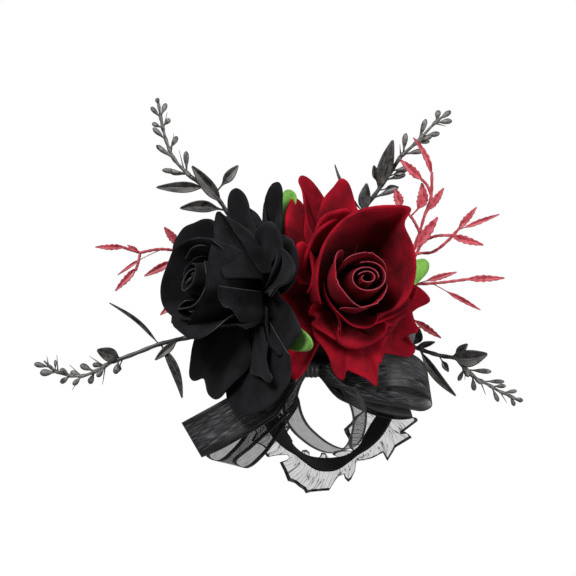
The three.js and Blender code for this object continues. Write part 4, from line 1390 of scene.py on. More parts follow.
@dataclass
class Fern:
    """A red fern: thin branching stalks with long serrated blades, moulded in one."""

    name: str
    root_height: float
    stem: tuple[Pixel, Pixel]
    stalks: tuple[tuple[Pixel, ...], ...]
    blades: tuple[tuple[Pixel, Leaf], ...]
    wire: Wire = Wire(0.15, 2.1, 8)
    stem_radius: float = 0.57
    blade_thickness: float = 0.45

    def make(self, bundle: Bundle) -> None:
        """Makes the fern's stalks and blades.

        Args:
            bundle: The bundle that the stem starts on.
        """
        body = f"{self.name}_body"
        mesh = bmesh.new()
        lines = [bundle.stem(self.root_height, self.stem)]
        lines += [[face_place(pixel) for pixel in stalk] for stalk in self.stalks]
        for line in lines:
            self.wire.mesh(line, self.stem_radius, 6 * len(line), mesh)
        piece = make_piece(f"{self.name}_stalks", mesh, (Finish.RED_PLASTIC,))
        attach(piece, body)
        mesh = bmesh.new()
        for start, leaf in self.blades:
            leaf.add(mesh, face_place(start))
        piece = make_piece(f"{self.name}_blades", mesh, (Finish.RED_PLASTIC,))
        thicken(piece, self.blade_thickness)
        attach(piece, body)
        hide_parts(self.name)


# Wristlet

def edge_place(edge: Sequence[Edge], t: float) -> Vector:
    """Finds a place on a traced edge of the frill.

    Args:
        edge: The edge's points in order round the loop.
        t: The place round the loop, from 0 to 1.

    Returns:
        The place in the row's frame, in metres.
    """
    index = 0
    while index < len(edge) - 2 and edge[index + 1][0] < t:
        index += 1
    a, b = edge[index], edge[index + 1]
    share = min(max((t - a[0]) / (b[0] - a[0]), 0.0), 1.0)
    across, down, forward = [low + (high - low) * share for low, high in zip(a[1:], b[1:])]
    point = face_place((across, down, 0.0))
    point.z = (math.sin(VIEW_DOWN) * point.y + forward) / math.cos(VIEW_DOWN)
    return from_face(point)


@dataclass
class Wristlet:
    """The elastic band, the ruffled frill sewn along it and the two felt pads.

    The frill's two edges are read off the photograph: the place round the loop, the pixels across
    and down, and how far it is forward of the loop's middle in millimetres.
    """

    front_edge: tuple[Edge, ...]
    back_edge: tuple[Edge, ...]
    span: float = 47.0
    rise: float = 22.0
    drop: float = 28.0
    stretched_height: float = -19.5
    band_width: float = 8.0
    band_thickness: float = 1.1
    band_length: float = 150.0
    flat_length: float = 28.0
    corner_share: float = 0.22
    waist_power: float = 1.5
    band_twist: float = 24.0
    back_twist: float = 15.0
    frill_width: float = 25.0
    frill_length: float = 110.0
    # The UV map gives the frill this length, so that its creases lie as close as gathered ones.
    strip_length: float = 300.0
    frill_thickness: float = 0.2
    frill_gap: float = 1.25
    sewn_share: float = 0.25
    pleat_count: int = 48
    pleat_depth: float = 0.45
    # The frill leaves the band flat, a little off it, and swings out from this share of the way.
    flat_share: float = 0.4
    swing_gap: float = 0.4
    pleat_lift: float = 0.2

    def loop_point(self, t: float) -> Vector:
        """Gives a place on the band's middle line.

        Args:
            t: The place round the loop, from 0 at the top's right end clockwise to 1 at its left.

        Returns:
            The place in the row's frame, in millimetres.
        """
        side = 1.0 if t < 0.5 else -1.0
        way = 2 * t if t < 0.5 else 2 - 2 * t
        half = self.span / 2
        if way < self.corner_share:
            angle = way / self.corner_share * math.pi / 2
            reach = self.flat_length / 2 + (half - self.flat_length / 2) * math.sin(angle)
            return Vector((side * reach, 0, self.rise * math.cos(angle)))
        angle = (way - self.corner_share) / (1 - self.corner_share) * math.pi / 2
        power = 2 / self.waist_power
        rounded = power + (1 - power) * ease(angle, 0.5, math.pi / 2)
        return Vector((
            side * half * max(math.cos(angle), 0.0) ** rounded,
            0,
            -self.drop * max(math.sin(angle), 0.0) ** power,
        ))

    def twist(self, t: float) -> float:
        """Gives the band's lean off the loop's axis: open on its way down, then turned back.

        Args:
            t: The place round the loop, from 0 to 1.

        Returns:
            The lean in radians.
        """
        way = min(2 * t, 2 - 2 * t)
        opened = self.band_twist * ease(way, 0.05, 0.35) * (1 - ease(way, 0.48, 0.68))
        turned = self.back_twist * ease(way, 0.6, 0.72) * (1 - ease(way, 0.78, 0.97))
        return math.radians(opened - turned)

    def band_point(self, t: float, across: float, outward: float) -> Vector:
        """Gives a place on or off the band.

        Args:
            t: The place round the loop, from 0 to 1.
            across: How far it is forward of the middle line, in millimetres.
            outward: How far it is off the band, in millimetres.

        Returns:
            The place in the row's frame, in metres.
        """
        nudge = 1 / 256
        along = self.loop_point(min(t + nudge, 1.0)) - self.loop_point(max(t - nudge, 0.0))
        out = Vector((-along.z, 0, along.x)).normalized()
        lean = self.twist(t)
        forward = Vector((0, -math.cos(lean), 0)) + out * math.sin(lean)
        normal = out * math.cos(lean) + Vector((0, math.sin(lean), 0))
        return (self.loop_point(t) + forward * across + normal * outward) * MM

    def frill_point(self, t: float, v: float) -> Vector:
        """Gives a place on the frill, which lies under the band and swings out to its traced edges.

        Args:
            t: The place round the loop, from 0 to 1.
            v: The place across the frill, from its back edge to its front edge.

        Returns:
            The place in the row's frame, in metres.
        """
        seam = self.band_width / 2
        reach = abs(2 * v - 1)
        side = 1.0 if v > 0.5 else -1.0
        if reach < self.sewn_share:
            return self.band_point(t, side * seam * reach / self.sewn_share, self.frill_gap)
        share = (reach - self.sewn_share) / (1 - self.sewn_share)
        edge = edge_place(self.front_edge if side > 0 else self.back_edge, t)
        foot = self.band_point(t, side * seam, self.frill_gap)
        free = (edge - foot).length / MM
        reached = seam + free * self.flat_share
        middle = self.band_point(t, side * reached, self.frill_gap + self.swing_gap)
        place = foot * (1 - share) ** 2 + middle * (2 * share * (1 - share)) + edge * share ** 2
        wander = 3 * noise.noise(Vector((t * 14, side * 3, 0)))
        pleat = math.sin(2 * math.pi * self.pleat_count * t + wander) * self.pleat_depth
        out = self.band_point(t, side * seam, self.frill_gap + 1) - foot
        return place + out * (pleat * math.sin(math.pi * min(share * 1.6, 1.0)) + self.pleat_lift)

    def band_place(self, across: float, along: float) -> Vector:
        """Gives a place on the band by its shares across and round it."""
        return self.band_point(along, (across - 0.5) * self.band_width, 0.0)

    def flat_place(self, across: float, along: float) -> Vector:
        """Gives a place on the flat top of the band by its shares across and along it."""
        return Vector(((along - 0.5) * self.flat_length, (0.5 - across) * self.band_width, self.rise)) * MM

    def frill_place(self, across: float, along: float) -> Vector:
        """Gives a place on the frill, which stops at the pads, by its shares across and round it."""
        start = self.corner_share / 2
        return self.frill_point(start + (1 - 2 * start) * along, across)

    def make(self, nodes: dict[str, bpy.types.Object]) -> None:
        """Makes the band, its flat top and the frill, and dresses the pads.

        Args:
            nodes: The CAD nodes by name.
        """
        mesh = surface_mesh(self.band_place, 8, 120, (self.band_width, self.band_length))
        piece = make_piece("elastic_loop", mesh, (Finish.WEBBING,))
        thicken(piece, self.band_thickness, 0)
        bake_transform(piece)
        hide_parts("elastic_side_right", "elastic_bottom", "elastic_side_left")

        mesh = surface_mesh(self.flat_place, 4, 4, (self.band_width, self.flat_length))
        piece = make_piece("elastic_under_pad", mesh, (Finish.WEBBING,))
        thicken(piece, self.band_thickness, 0)
        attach(piece, SPRAY)
        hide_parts("elastic_top")

        mesh = surface_mesh(self.frill_place, 24, 420, (self.frill_width, self.strip_length))
        piece = make_piece("frill_ruffle", mesh, (Finish.FRILL,))
        thicken(piece, self.frill_thickness, 0)
        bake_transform(piece)
        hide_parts("frill_right", "frill_bottom", "frill_left")
        for node in ("felt_pad_lower", "felt_pad_upper"):
            dress(nodes[node], Finish.BLACK_FELT)


# Studio

@dataclass(frozen=True)
class Lamp:
    """A square lamp: its place against the corsage in the spray's frame and its side, both in metres."""

    name: str
    place: tuple[float, float, float]
    side: float
    power: float

    def add(self, aim: Vector) -> None:
        """Adds the lamp to the scene.

        Args:
            aim: What it faces, in the row's frame.
        """
        data = bpy.data.lights.new(self.name, "AREA")
        data.size = self.side
        data.energy = self.power
        lamp = bpy.data.objects.new(self.name, data)
        offset = FACE_TO_ROW @ Vector(self.place)
        lamp.location = aim + offset
        lamp.rotation_euler = offset.to_track_quat("Z", "Y").to_euler()
        bpy.context.scene.collection.objects.link(lamp)


@dataclass
class Studio:
    """A plain white sweep of light: soft lamps, a white world and a long lens. Lengths in metres."""

    target: Pixel = (288.0, 288.0, 0.0)
    distance: float = 1.3
    view_width: float = 0.216
    sensor: float = 36.0
    ambient: float = 0.22
    lamps: tuple[Lamp, ...] = (
        Lamp("key", (-0.35, 0.6, 0.55), 0.35, 8.0),
        Lamp("fill", (0.7, 0.15, 0.5), 0.5, 5.0),
        Lamp("low", (0.3, -0.7, 0.35), 0.6, 0.8),
    )

    def make(self) -> None:
        """Sets the camera, the lamps and the world."""
        scene = bpy.context.scene
        scene.view_settings.view_transform = "Standard"
        scene.cycles.transparent_max_bounces = 40
        aim = from_face(face_place(self.target))
        away = FACE_TO_ROW @ Vector((0, 0, 1))
        data = bpy.data.cameras.new("camera")
        data.sensor_width = self.sensor
        data.lens = self.sensor * self.distance / self.view_width
        camera = bpy.data.objects.new("camera", data)
        camera.location = aim + away * self.distance
        camera.rotation_euler = away.to_track_quat("Z", "Y").to_euler()
        scene.collection.objects.link(camera)
        scene.camera = camera
        for lamp in self.lamps:
            lamp.add(aim)
        self.make_world(scene)

    def make_world(self, scene: bpy.types.Scene) -> None:
        """Makes a world that is white to the camera and dimmer as light.

        Args:
            scene: The scene that gets it.
        """
        world = bpy.data.worlds.new("white_world")
        world.use_nodes = True
        scene.world = world
        shader = Shader(world.node_tree)
        ray = shader.node("LightPath", {}).outputs
        seen = shader.sum("MAXIMUM", ray["Is Camera Ray"], ray["Is Transmission Ray"])
        light, white = [
            shader.node("Background", {"Color": grey(1.0), "Strength": strength}).outputs[0]
            for strength in (self.ambient, 1.0)
        ]
        mix = shader.node("MixShader", {0: seen, 1: light, 2: white})
        shader.node("OutputWorld", {0: mix.outputs[0]})


# The corsage's own pieces, read off the photograph

RED_LAYERS = {
    "inner": [
        Petal(190, 0.7, 0.95, Lean.INNER, 0.95, 24, 0.6),
        Petal(300, 0.62, 0.7, Lean.INNER, 0.95, 14, 0.5),
        Petal(72, 0.62, 0.62, Lean.INNER, 0.95, 22, 0.5),
    ],
    "cup": [
        Fan(((322, 302, 20), (318.5, 285, 21), (320, 267, 22), (325, 247, 24.5), (336, 230, 27),
             (349, 218, 29), (365, 211, 30), (387, 208, 30), (409.5, 210, 28.5), (400.5, 226, 30.5),
             (407.5, 242, 31.5), (411.5, 258, 31.5), (410.5, 277, 30), (404, 295, 28.5), (391, 307, 25),
             (374, 312, 21)), 9.0, 2.6),
        Fan(((323, 282, 16), (326, 295, 16), (332.5, 306, 15.5), (341, 315.5, 16), (349, 323, 17),
             (358, 326.5, 18.5), (368, 325.5, 19.5), (374, 321, 20.5), (376, 315, 20)), 3.5, 0.5),
        Fan(((372, 323, 15), (387, 317, 15), (400, 310, 15.5), (410, 300, 16),
             (415.5, 288, 17)), 3.5, 0.8),
    ],
    "middle": [
        Fan(((304, 270, 12), (307, 259, 15), (311, 247, 17), (318, 234, 19), (329, 224.5, 19.5),
             (341, 218, 17.5), (350, 214, 15.5)), 6.0, 3.0),
        Fan(((316, 237, 17), (319, 226, 18.5), (326, 217, 20), (337, 213, 20.5), (347, 211.5, 21),
             (353, 216, 20.5)), 5.5, 2.2),
        Fan(((301, 283, 13), (291.5, 269, 13), (295.5, 262, 14.5), (297, 248, 16.5), (303.5, 242.5, 17),
             (309.5, 250.5, 16), (314, 270, 15), (313, 283, 14), (308, 293, 12)), 1.5, 1.6),
        Fan(((317, 299, 13), (308.5, 312, 11), (317, 316.5, 13.5), (311.5, 322, 11.5), (324, 331, 11),
             (337, 338, 10), (340, 326, 11.5), (335, 311, 11.5)), 1.5, 0.8),
        Fan(((338, 328, 12), (337.5, 337, 11), (344, 343, 11.5), (357, 345, 12.5), (373.5, 338, 13.5),
             (383.5, 330, 14), (385, 323, 15.5), (390, 324, 15), (396, 318, 15.5),
             (403, 313, 14.5)), 2.0, 2.0),
        Petal(345, 0.6, 0.9, Lean.MID, 0.6, 150, 1.1, 8, 30),
    ],
    "outer": [
        Fan(((317, 220, 10.5), (324, 200, 11), (334, 188, 12.5), (341, 180, 13), (346.5, 182.5, 12.5),
             (352, 195, 11), (356, 209, 10.5), (364, 222, 11.5)), -1.5, 0.6),
        Fan(((306, 280, 8), (290, 284, 6.5), (280, 289, 5.5), (281, 298, 5.5), (291, 304, 6),
             (299, 314, 6), (304, 330, 6), (310, 338, 7)), 1.0, 0.8),
        Fan(((312, 324, 8.5), (314.5, 336, 8), (322.5, 345, 7), (329, 356, 6), (331.5, 366, 5.5),
             (337, 375, 5), (342, 378, 5.5), (345.5, 368, 7), (354, 371, 7.5),
             (362, 358, 8.5)), -1.5, 0.4),
        Fan(((344, 366, 7), (356, 372, 8.5), (366, 377, 9.5), (374, 383.5, 9), (376, 366, 9.5),
             (378.5, 351, 9), (386, 335, 9.5)), -1.5, 0.4),
        Fan(((376, 352, 8.5), (390, 352, 7.5), (406, 355.5, 6), (413.5, 350, 5), (407, 337, 6.5),
             (402, 323, 7.5), (396, 312, 8.5)), -1.5, 0.4),
        Fan(((397, 290, 9), (411, 284.5, 9.5), (428.5, 300, 8), (415, 308, 8.5), (401, 319, 7.5),
             (388, 326, 7.5)), -1.5, 0.4),
    ],
    "lowest": [
        Fan(((307, 226, 5.5), (304.5, 206, 3), (302, 190, 1), (299, 181, 0), (302, 176, 0),
             (308, 178, 0.5), (317.5, 188, 1), (326, 202, 1.5), (333, 218, 2)), -1.0, 0.8),
        Fan(((296, 258, 7.5), (286, 241, 7.5), (286.5, 224, 9), (289, 209, 7), (296, 199, 3),
             (303, 204.5, 2), (305.5, 216, 3.5), (304, 232, 6), (302, 250, 7)), -1.5, 1.5),
        Fan(((288, 346, 6.5), (288.5, 363, 7), (291, 372, 8), (295.5, 376, 9), (303.5, 370, 9.5),
             (308, 363, 7.5), (309, 345, 5.5)), -1.0, 1.0),
        Petal(205, 0.7, 0.6, Lean.LOW, 0.1, 140, 1.0),
        Petal(-70, 0.7, 0.85, Lean.LOW, 0.1, 140, 1.3),
        Petal(-30, 0.72, 0.85, Lean.LOW, 0.1, 140, 1.3),
        Petal(30, 0.72, 0.8, Lean.LAST, 0.1, 120, 1.2),
    ],
}
BLACK_LAYERS = {
    "inner": [
        Petal(30, 0.6, 0.66, Lean.INNER, 0.95, 14, 0.5),
        Petal(150, 0.6, 0.66, Lean.INNER, 0.95, 14, 0.5),
        Petal(270, 0.6, 0.66, Lean.INNER, 0.95, 14, 0.5),
    ],
    "cup": [
        Fan(((214, 241, 29.5), (198, 239.5, 30), (184, 243.5, 30), (174.5, 250.5, 31),
             (167.5, 265.5, 31.5), (163.5, 279, 32), (162, 294, 32), (164, 306, 30.5), (171, 314, 29.5),
             (181.5, 318.5, 28), (192, 318.5, 27)), 2.5, 0.6),
        Fan(((226, 262, 20), (213, 248, 25), (203, 246, 28), (193, 250, 28.5), (186, 260, 28.5)), 2.0),
        Fan(((186, 300, 26), (178, 308, 27), (186, 308, 28.5), (200, 302, 29.5), (208, 288, 29.5),
             (211, 270, 28), (213, 255, 26)), 2.0),
    ],
    "middle": [
        Fan(((246, 328, 12), (239, 324, 14), (220.5, 323, 18), (201, 324, 23), (185.5, 330.5, 26),
             (190.5, 318, 27.5), (200, 302.5, 29), (206, 291, 30), (209, 270, 30), (211.5, 255, 29),
             (215, 240, 27)), 6.5, 0.5),
        Fan(((226, 279, 23), (222.5, 273, 24.5), (219, 262, 25), (216, 245, 25), (215, 225, 24),
             (218.5, 213, 22), (226, 220, 19.5), (235.5, 234, 17), (243.5, 245, 15), (251, 260, 12),
             (262, 274, 9)), 9.0, 0.8),
        Fan(((222, 286, 27.5), (220, 298, 26), (224, 305, 24), (232, 307.5, 20.5), (238, 316, 17),
             (242, 321, 14), (252, 312, 9.5)), 8.0, 0.5),
        Petal(235, 0.8, 1.0, Lean.CUP, 0.7, 70),
    ],
    "outer": [
        Fan(((262, 277, 6.5), (256, 251, 8.5), (255.5, 234, 9.5), (260, 227, 10), (267.5, 225, 10),
             (276, 234, 8.5), (278, 245, 7.5), (277, 258, 7.5), (272, 275, 6),
             (265, 288, 4.5)), 1.5, 2.0),
        Fan(((272, 262, 6.5), (278, 250.5, 6.5), (286, 255, 6.5), (292, 265.5, 6.5), (292, 273.5, 8.5),
             (288, 280.5, 8.5), (275, 288.5, 8), (270, 296, 5)), 1.0, 1.2),
        Fan(((239, 240, 10.5), (231, 224, 12), (227, 213.5, 12), (227, 204, 12.5), (229.5, 194, 12.5),
             (234.5, 190, 11.5), (241, 193.5, 10), (247, 204.5, 8.5), (249.5, 216, 8),
             (256, 234, 8)), -1.5, 1.0),
        Fan(((172, 256, 25), (175, 240, 24), (181, 231, 23), (190, 225, 22), (211, 221.5, 20),
             (220, 230, 19)), 1.5, 1.0),
        Fan(((200, 322, 15), (193.5, 343, 14.5), (190.5, 356, 14), (188.5, 378, 12.5),
             (192.5, 380.5, 12), (203, 377, 11), (206, 384, 11.5), (208.5, 392.5, 12),
             (215, 397.5, 11.5), (221, 395, 11.5), (228, 386, 11.5), (239, 375, 10), (248, 365, 7.5),
             (252, 350, 6)), -1.5, 0.6),
        Petal(170, 0.75, 0.95, Lean.UPRIGHT, 0.3, 75, 0.9),
    ],
    "lowest": [
        Fan(((270, 286, 5), (276, 292, 3.5), (277, 296.5, 3.5), (285, 303.5, 1.5), (293, 315, 0.5),
             (298, 330, 0.5), (289, 340, 2), (284, 349.5, 2.5), (278, 353.5, 3.5), (275, 349, 4),
             (270, 342.5, 4), (265.5, 325, 5), (266, 306, 5)), 0.5, 1.2),
        Fan(((265, 228, 4), (264, 208, 3), (266.5, 194, 2.5), (271, 185.5, 1.5), (276, 184.5, 0),
             (280, 191.5, -1), (280.5, 200, -1.5), (279, 225, 0), (276.5, 245, 3)), -1.0, 1.4),
        Fan(((254, 340, 5), (250, 354, 5), (249, 366, 5.5), (252, 371, 6.5), (261, 374, 8),
             (267.5, 378.5, 8.5), (271, 374, 8.5), (268, 369, 8.5), (265.5, 358, 7.5),
             (267, 340, 5.5)), -1.0, 1.2),
        Fan(((226, 360, 9.5), (227, 395, 9), (234, 409, 8.5), (245, 412, 7.5), (258, 408, 6.5),
             (273, 399, 5), (281, 389, 3.5), (288, 378, 2.5), (289, 352, 2.5)), -1.5, 0.8),
        Petal(100, 0.8, 0.7, Lean.LOW, 0.1, 75, 0.9),
        Petal(140, 0.7, 0.9, Lean.LOW, 0.1, 75, 0.9),
        Petal(38, 0.66, 0.72, Lean.LAST, 0.1, 75, 0.9),
    ],
}
ROSES = (
    Rose(
        "rose_red", (341, 298, 30), 16, 15, RED_LAYERS,
        (
            Fan(((404, 278, -3), (410, 268, -3), (415, 262, -3), (421, 258.5, -3), (427, 259.5, -3),
                 (430, 265, -3), (428, 272, -3), (421, 280, -3), (414, 286, -3), (406, 290, -3)), -1.0),
            Sepal(100, 0.8, (98, 92, 80)),
            Sepal(190, 0.6, (98, 92, 80)),
            Sepal(270, 0.5, (90, 70, 65)),
        ),
        Finish.RED_VELVET, Finish.RED_EDGE, "red_velvet", bud_radius=8.2, bud_shift=(2.2, 0.8),
    ),
    Rose(
        "rose_black", (260, 292, 34), -60, 5, BLACK_LAYERS,
        (
            Fan(((273, 232, -6), (279, 205, -6), (282, 195, -7), (286, 190, -8), (292, 190.5, -9),
                 (296, 195, -10), (296.5, 204, -10), (293, 214, -9), (286, 232, -7)), -1.0),
            Fan(((284, 316, -1), (296, 327, -2), (304, 331, -3), (310, 337, -4), (313, 343.5, -5),
                 (309, 349, -5), (300, 349.5, -3.5), (290, 348.5, -2), (286, 345, -2),
                 (278, 334, -2)), -1.0),
            Sepal(-125, 0.5, (95, 80, 60)),
            Sepal(160, 0.7, (98, 92, 80)),
        ),
        Finish.BLACK_VELVET, Finish.BLACK_EDGE, "black_velvet",
        bud_radius=7.4, bud_height=22.0, bud_shift=(-1.5, 2.4),
    ),
)
BOW = Bow((
    Loop(
        "centre", (-1, 2), (1, 2),
        ((293, 386, 64), (291, 400, 67), (293, 412, 69), (299, 424, 70), (309, 434, 71), (320, 442, 71),
         (332, 447, 71), (343, 447, 72), (352, 440, 73), (357, 427, 74), (358, 412, 75), (353, 396, 74),
         (340, 381, 70)),
        (0.43, 0.15, 0.89), Finish.SHEER_RIBBON, (0.32, 0.15, 0.93),
    ),
    Loop(
        "left_upper", (-1, 1), (-1, 0),
        ((286, 381, 50), (262, 398, 45), (233, 416, 40), (206, 431, 34), (192, 439, 28), (206, 434, 24),
         (235, 418, 31), (264, 400, 37), (287, 383, 45)),
        (0.5, -0.84, 0.2), Finish.DENSE_RIBBON,
    ),
    Loop(
        "left_lower", (-1, -1), (-1, -2),
        ((288, 392, 39), (262, 420, 28), (236, 444, 20), (221, 458, 14), (232, 464, 8), (250, 450, 12),
         (268, 424, 20), (287, 396, 33)),
        (0.75, -0.15, 0.6),
    ),
    Loop(
        "right_upper", (1, 1), (1, 0),
        ((344, 370, 48), (372, 368, 47), (402, 368, 46), (421, 376, 46), (428, 387, 46), (420, 393, 47),
         (398, 391, 48), (368, 386, 50), (344, 378, 50)),
        (0.1, -0.93, 0.36), Finish.DENSE_RIBBON, (0.1, -0.7, 0.7),
    ),
    Loop(
        "right_lower", (1, -1), (1, -2),
        ((344, 386, 42), (372, 400, 43), (398, 406, 43), (409, 407, 41), (398, 409, 38), (372, 405, 38),
         (344, 392, 37)),
        (0.1, -0.42, 0.9), Finish.DENSE_RIBBON,
    ),
))
SPRIGS = (
    Sprig(
        "upper_left", 50, ((262, 250, -24), (228, 214, -16)),
        ((228, 214, -16), (219, 200, -12), (205, 187, -9), (190, 176, -7)),
        ((190, 176, -7), (174, 159, -4), (165, 137, -2), (158, 102, 0)),
        (
            Leaf(0.28, (192, 166, -3), 13, 0.05),
            Leaf(0.66, (156, 187, -12), 11, 0.12),
            Leaf(0.45, (238, 165, -12), 10, 0.4),
            Leaf(0.08, (180, 208, -6), 12, 0.22, -3),
        ),
        (
            Bud(0.05, 162, 170, 3, 1.1), Bud(0.03, 170, 172, -5), Bud(0.06, 186, 151, 2, 1.15),
            Bud(0.28, 156, 145, -3), Bud(0.3, 159, 148, 5, 0.95), Bud(0.41, 177, 136, -3, 1.1),
            Bud(0.53, 153, 128, 4), Bud(0.68, 152, 123, -4, 0.95), Bud(0.7, 170, 119, 4),
            Bud(0.8, 151, 107, 3, 0.95), Bud(0.82, 166, 103, -3), Bud(0.95, 157, 98, 2, 0.9),
            Bud(0.1, 179, 150, 4, 0.3), Bud(0.36, 174, 133, 4, 0.3), Bud(0.66, 167, 112, -3, 0.3),
        ),
    ),
    Sprig(
        "upper_right", 51, ((335, 250, -26), (362, 212, -16)),
        ((362, 212, -16), (379, 189, -12), (392, 170, -9), (401, 156, -7)),
        ((401, 156, -7), (418, 141, -4), (436, 122, -2), (449, 112, 0)),
        (
            Leaf(0.42, (393, 140, -4), 15, 0.06),
            Leaf(0.42, (374, 165, -8), 7, 0.4),
            Leaf(0.4, (399, 187, -9), 7, 0.4),
            Leaf(0.64, (408, 169, -8), 6, 0.4),
            Leaf(0.02, (367, 183, -12), 12, 0.08),
            Leaf(0.02, (335, 164, -16), 4, 0.1, 4),
        ),
        (
            Bud(0.05, 406, 133, 4, 1.15), Bud(0.04, 425, 150, -3, 1.1), Bud(0.36, 426, 119, 3, 1.1),
            Bud(0.33, 432, 136, 4), Bud(0.3, 430, 141, -4, 0.85), Bud(0.44, 440, 133, -3, 1.1),
            Bud(0.75, 439, 110, -3, 1.15), Bud(0.78, 451, 111, 1), Bud(0.73, 452, 121, 4, 1.15),
            Bud(-0.25, 411, 168, 3, 1.15), Bud(-0.42, 406, 174, -3, 1.15), Bud(-0.75, 398, 188, 5, 1.2),
            Bud(0.72, 446, 126, -2, 0.35), Bud(0.0, 400, 144, 3, 0.4),
        ),
    ),
    Sprig(
        "lower_left", 38, ((250, 325, -22), (181, 339, -14)),
        ((181, 339, -14), (160, 344, -10), (134, 354, -8), (112, 362, -6)),
        ((112, 362, -6), (82, 376, -4), (57, 372, -2), (44, 361, 0)),
        (
            Leaf(0.88, (97, 350, -2), 14, 0.12),
            Leaf(0.84, (116, 373, -6), 6, 0.5),
            Leaf(0.3, (182, 398, -4), 9, 0.12, 4),
            Leaf(0.04, (155, 360, -4), 8, 0.15),
            Leaf(0.32, (109, 303, -8), 4, 0.1, -4),
        ),
        (
            Bud(-0.1, 115, 374, 4, 1.25), Bud(0.1, 92, 365, -3, 1.05), Bud(0.1, 97, 377, 4, 1.1),
            Bud(0.26, 80, 365, 3, 1.3), Bud(0.26, 89, 384, -4, 1.2), Bud(0.44, 70, 372, -3),
            Bud(0.44, 73, 385, 4), Bud(0.59, 60, 369, 3, 1.1), Bud(0.59, 60, 383, -4, 1.1),
            Bud(0.77, 40, 373, 3, 1.45), Bud(0.88, 34, 364, -2, 1.1), Bud(0.8, 55, 360, -3, 0.6),
            Bud(0.12, 89, 356, 4, 0.35), Bud(0.1, 102, 385, -4, 0.35), Bud(0.45, 69, 365, -4, 0.3),
            Bud(0.45, 72, 390, 4, 0.3), Bud(0.76, 57, 355, 4, 0.35), Bud(0.92, 47, 356, 3, 0.3),
        ),
    ),
    Sprig(
        "lower_right", 39, ((360, 325, -22), (411, 346, -14)),
        ((411, 346, -14), (428, 352, -10), (442, 356, -8), (457, 358, -6)),
        ((457, 358, -6), (466, 369, -8), (476, 378, -8), (489, 385, -6), (499, 391, -4), (508, 395, -3),
         (521, 402, -2)),
        (
            Leaf(0.84, (487, 354, 5), 17, 0.16, -3),
            Leaf(0.9, (468, 344, -6), 8, 0.3),
            Leaf(0.2, (456, 396, -4), 9, 0.12, -3),
            Leaf(0.1, (435, 342, -4), 6, 0.15),
            Leaf(0.04, (419, 327, -18), 15, 0.15),
            Leaf(0.62, (449, 372, -8), 6, 0.4),
        ),
        (
            Bud(0.08, 480, 362, 4, 1.0), Bud(0.06, 469, 377, 4, 1.05), Bud(0.16, 459, 381, -3, 0.95),
            Bud(0.2, 492, 372, -2, 1.05), Bud(0.3, 475, 391, -4, 1.1), Bud(0.26, 482, 384, 5, 0.9),
            Bud(0.44, 505, 382, -3, 0.9), Bud(0.58, 506, 386, 4, 0.9), Bud(0.58, 499, 402, -3, 0.9),
            Bud(0.74, 517, 391, 3, 0.85), Bud(0.84, 515, 406, -3, 0.85), Bud(0.88, 523, 401, 2, 0.9),
            Bud(0.42, 486, 395, 3, 0.35), Bud(0.7, 507, 403, 4, 0.3), Bud(0.18, 465, 380, 5, 0.3),
        ),
    ),
)


def blade(start: Pixel, tip: Pixel, width: float, foot: float, bow: float = 0.0) -> tuple[Pixel, Leaf]:
    """Describes one serrated blade of a fern from its start to its tip."""
    return start, Leaf(0.0, tip, width, foot, bow, 0.35, 0.22)


FERNS = (
    Fern(
        "fern_upper", 47, ((370, 275, -24), (412, 256, -14)),
        (
            ((410, 257, -14), (420, 232, -10), (425, 215, -8), (431, 198, -5), (432, 172, -1)),
            ((431, 194, -5), (427, 185, -1), (421, 179, 3)),
            ((420, 232, -10), (412, 218, -2), (400, 206, 2)),
        ),
        (
            blade((432, 175, -1), (413, 138, 8), 6, 0.05, -3),
            blade((422, 180, 3), (400, 160, 8), 9, 0.05),
            blade((426, 214, -8), (444, 188, -4), 8, 0.2),
            blade((411, 216, -7), (422, 183, -2), 12, 0.3, -6),
            blade((401, 207, 2), (395, 189, 6), 10, 0.05),
            blade((414, 251, -12), (438, 217, -6), 11, 0.15),
        ),
    ),
    Fern(
        "fern_right", 42, ((360, 290, -26), (398, 282, -18)),
        (
            ((396, 282, -20), (417, 254, -28), (433, 252, -22), (448, 241, -15), (460, 228, -12)),
            ((416, 256, -28), (424, 242, -24), (436, 236, -17), (453, 235, -13)),
            ((396, 282, -18), (414, 284, -14), (437, 283, -10), (470, 279, -8)),
            ((396, 283, -18), (402, 312, -8), (412, 318, -2)),
        ),
        (
            blade((458, 230, -12), (477, 207, -9), 7, 0.1),
            blade((458, 230, -12), (500, 214, -9), 5, 0.2),
            blade((450, 235, -13), (484, 245, -10), 8, 0.1),
            blade((466, 279, -8), (505, 278, -6), 7, 0.08),
            blade((416, 284, -14), (457, 272, -8), 6, 0.3),
            blade((432, 283, -10), (481, 310, -8), 5, 0.35),
            blade((410, 317, -2), (441, 338, 2), 7, 0.2),
        ),
    ),
    Fern(
        "fern_left", 45, ((250, 262, -26), (186, 253, -16)),
        (
            ((188, 253, -16), (161, 249, -12), (147, 251, -10), (139, 253, -9)),
            ((141, 253, -9), (131, 250, -8), (122, 247, -8)),
            ((140, 252, -9), (138, 262, -8), (135, 271, -8)),
            ((186, 255, -16), (182, 290, -14), (172, 304, -12)),
        ),
        (
            blade((124, 247, -8), (95, 247, -6), 6, 0.04),
            blade((140, 252, -9), (127, 245, -8), 4, 0.2),
            blade((136, 268, -8), (115, 291, -6), 7, 0.05),
            blade((162, 249, -12), (117, 275, -10), 3.5, 0.5, -2),
            blade((186, 254, -16), (144, 276, -10), 8, 0.35),
            blade((184, 252, -16), (164, 227, -10), 9, 0.3),
            blade((174, 303, -12), (160, 315, -10), 6, 0.1),
        ),
    ),
)


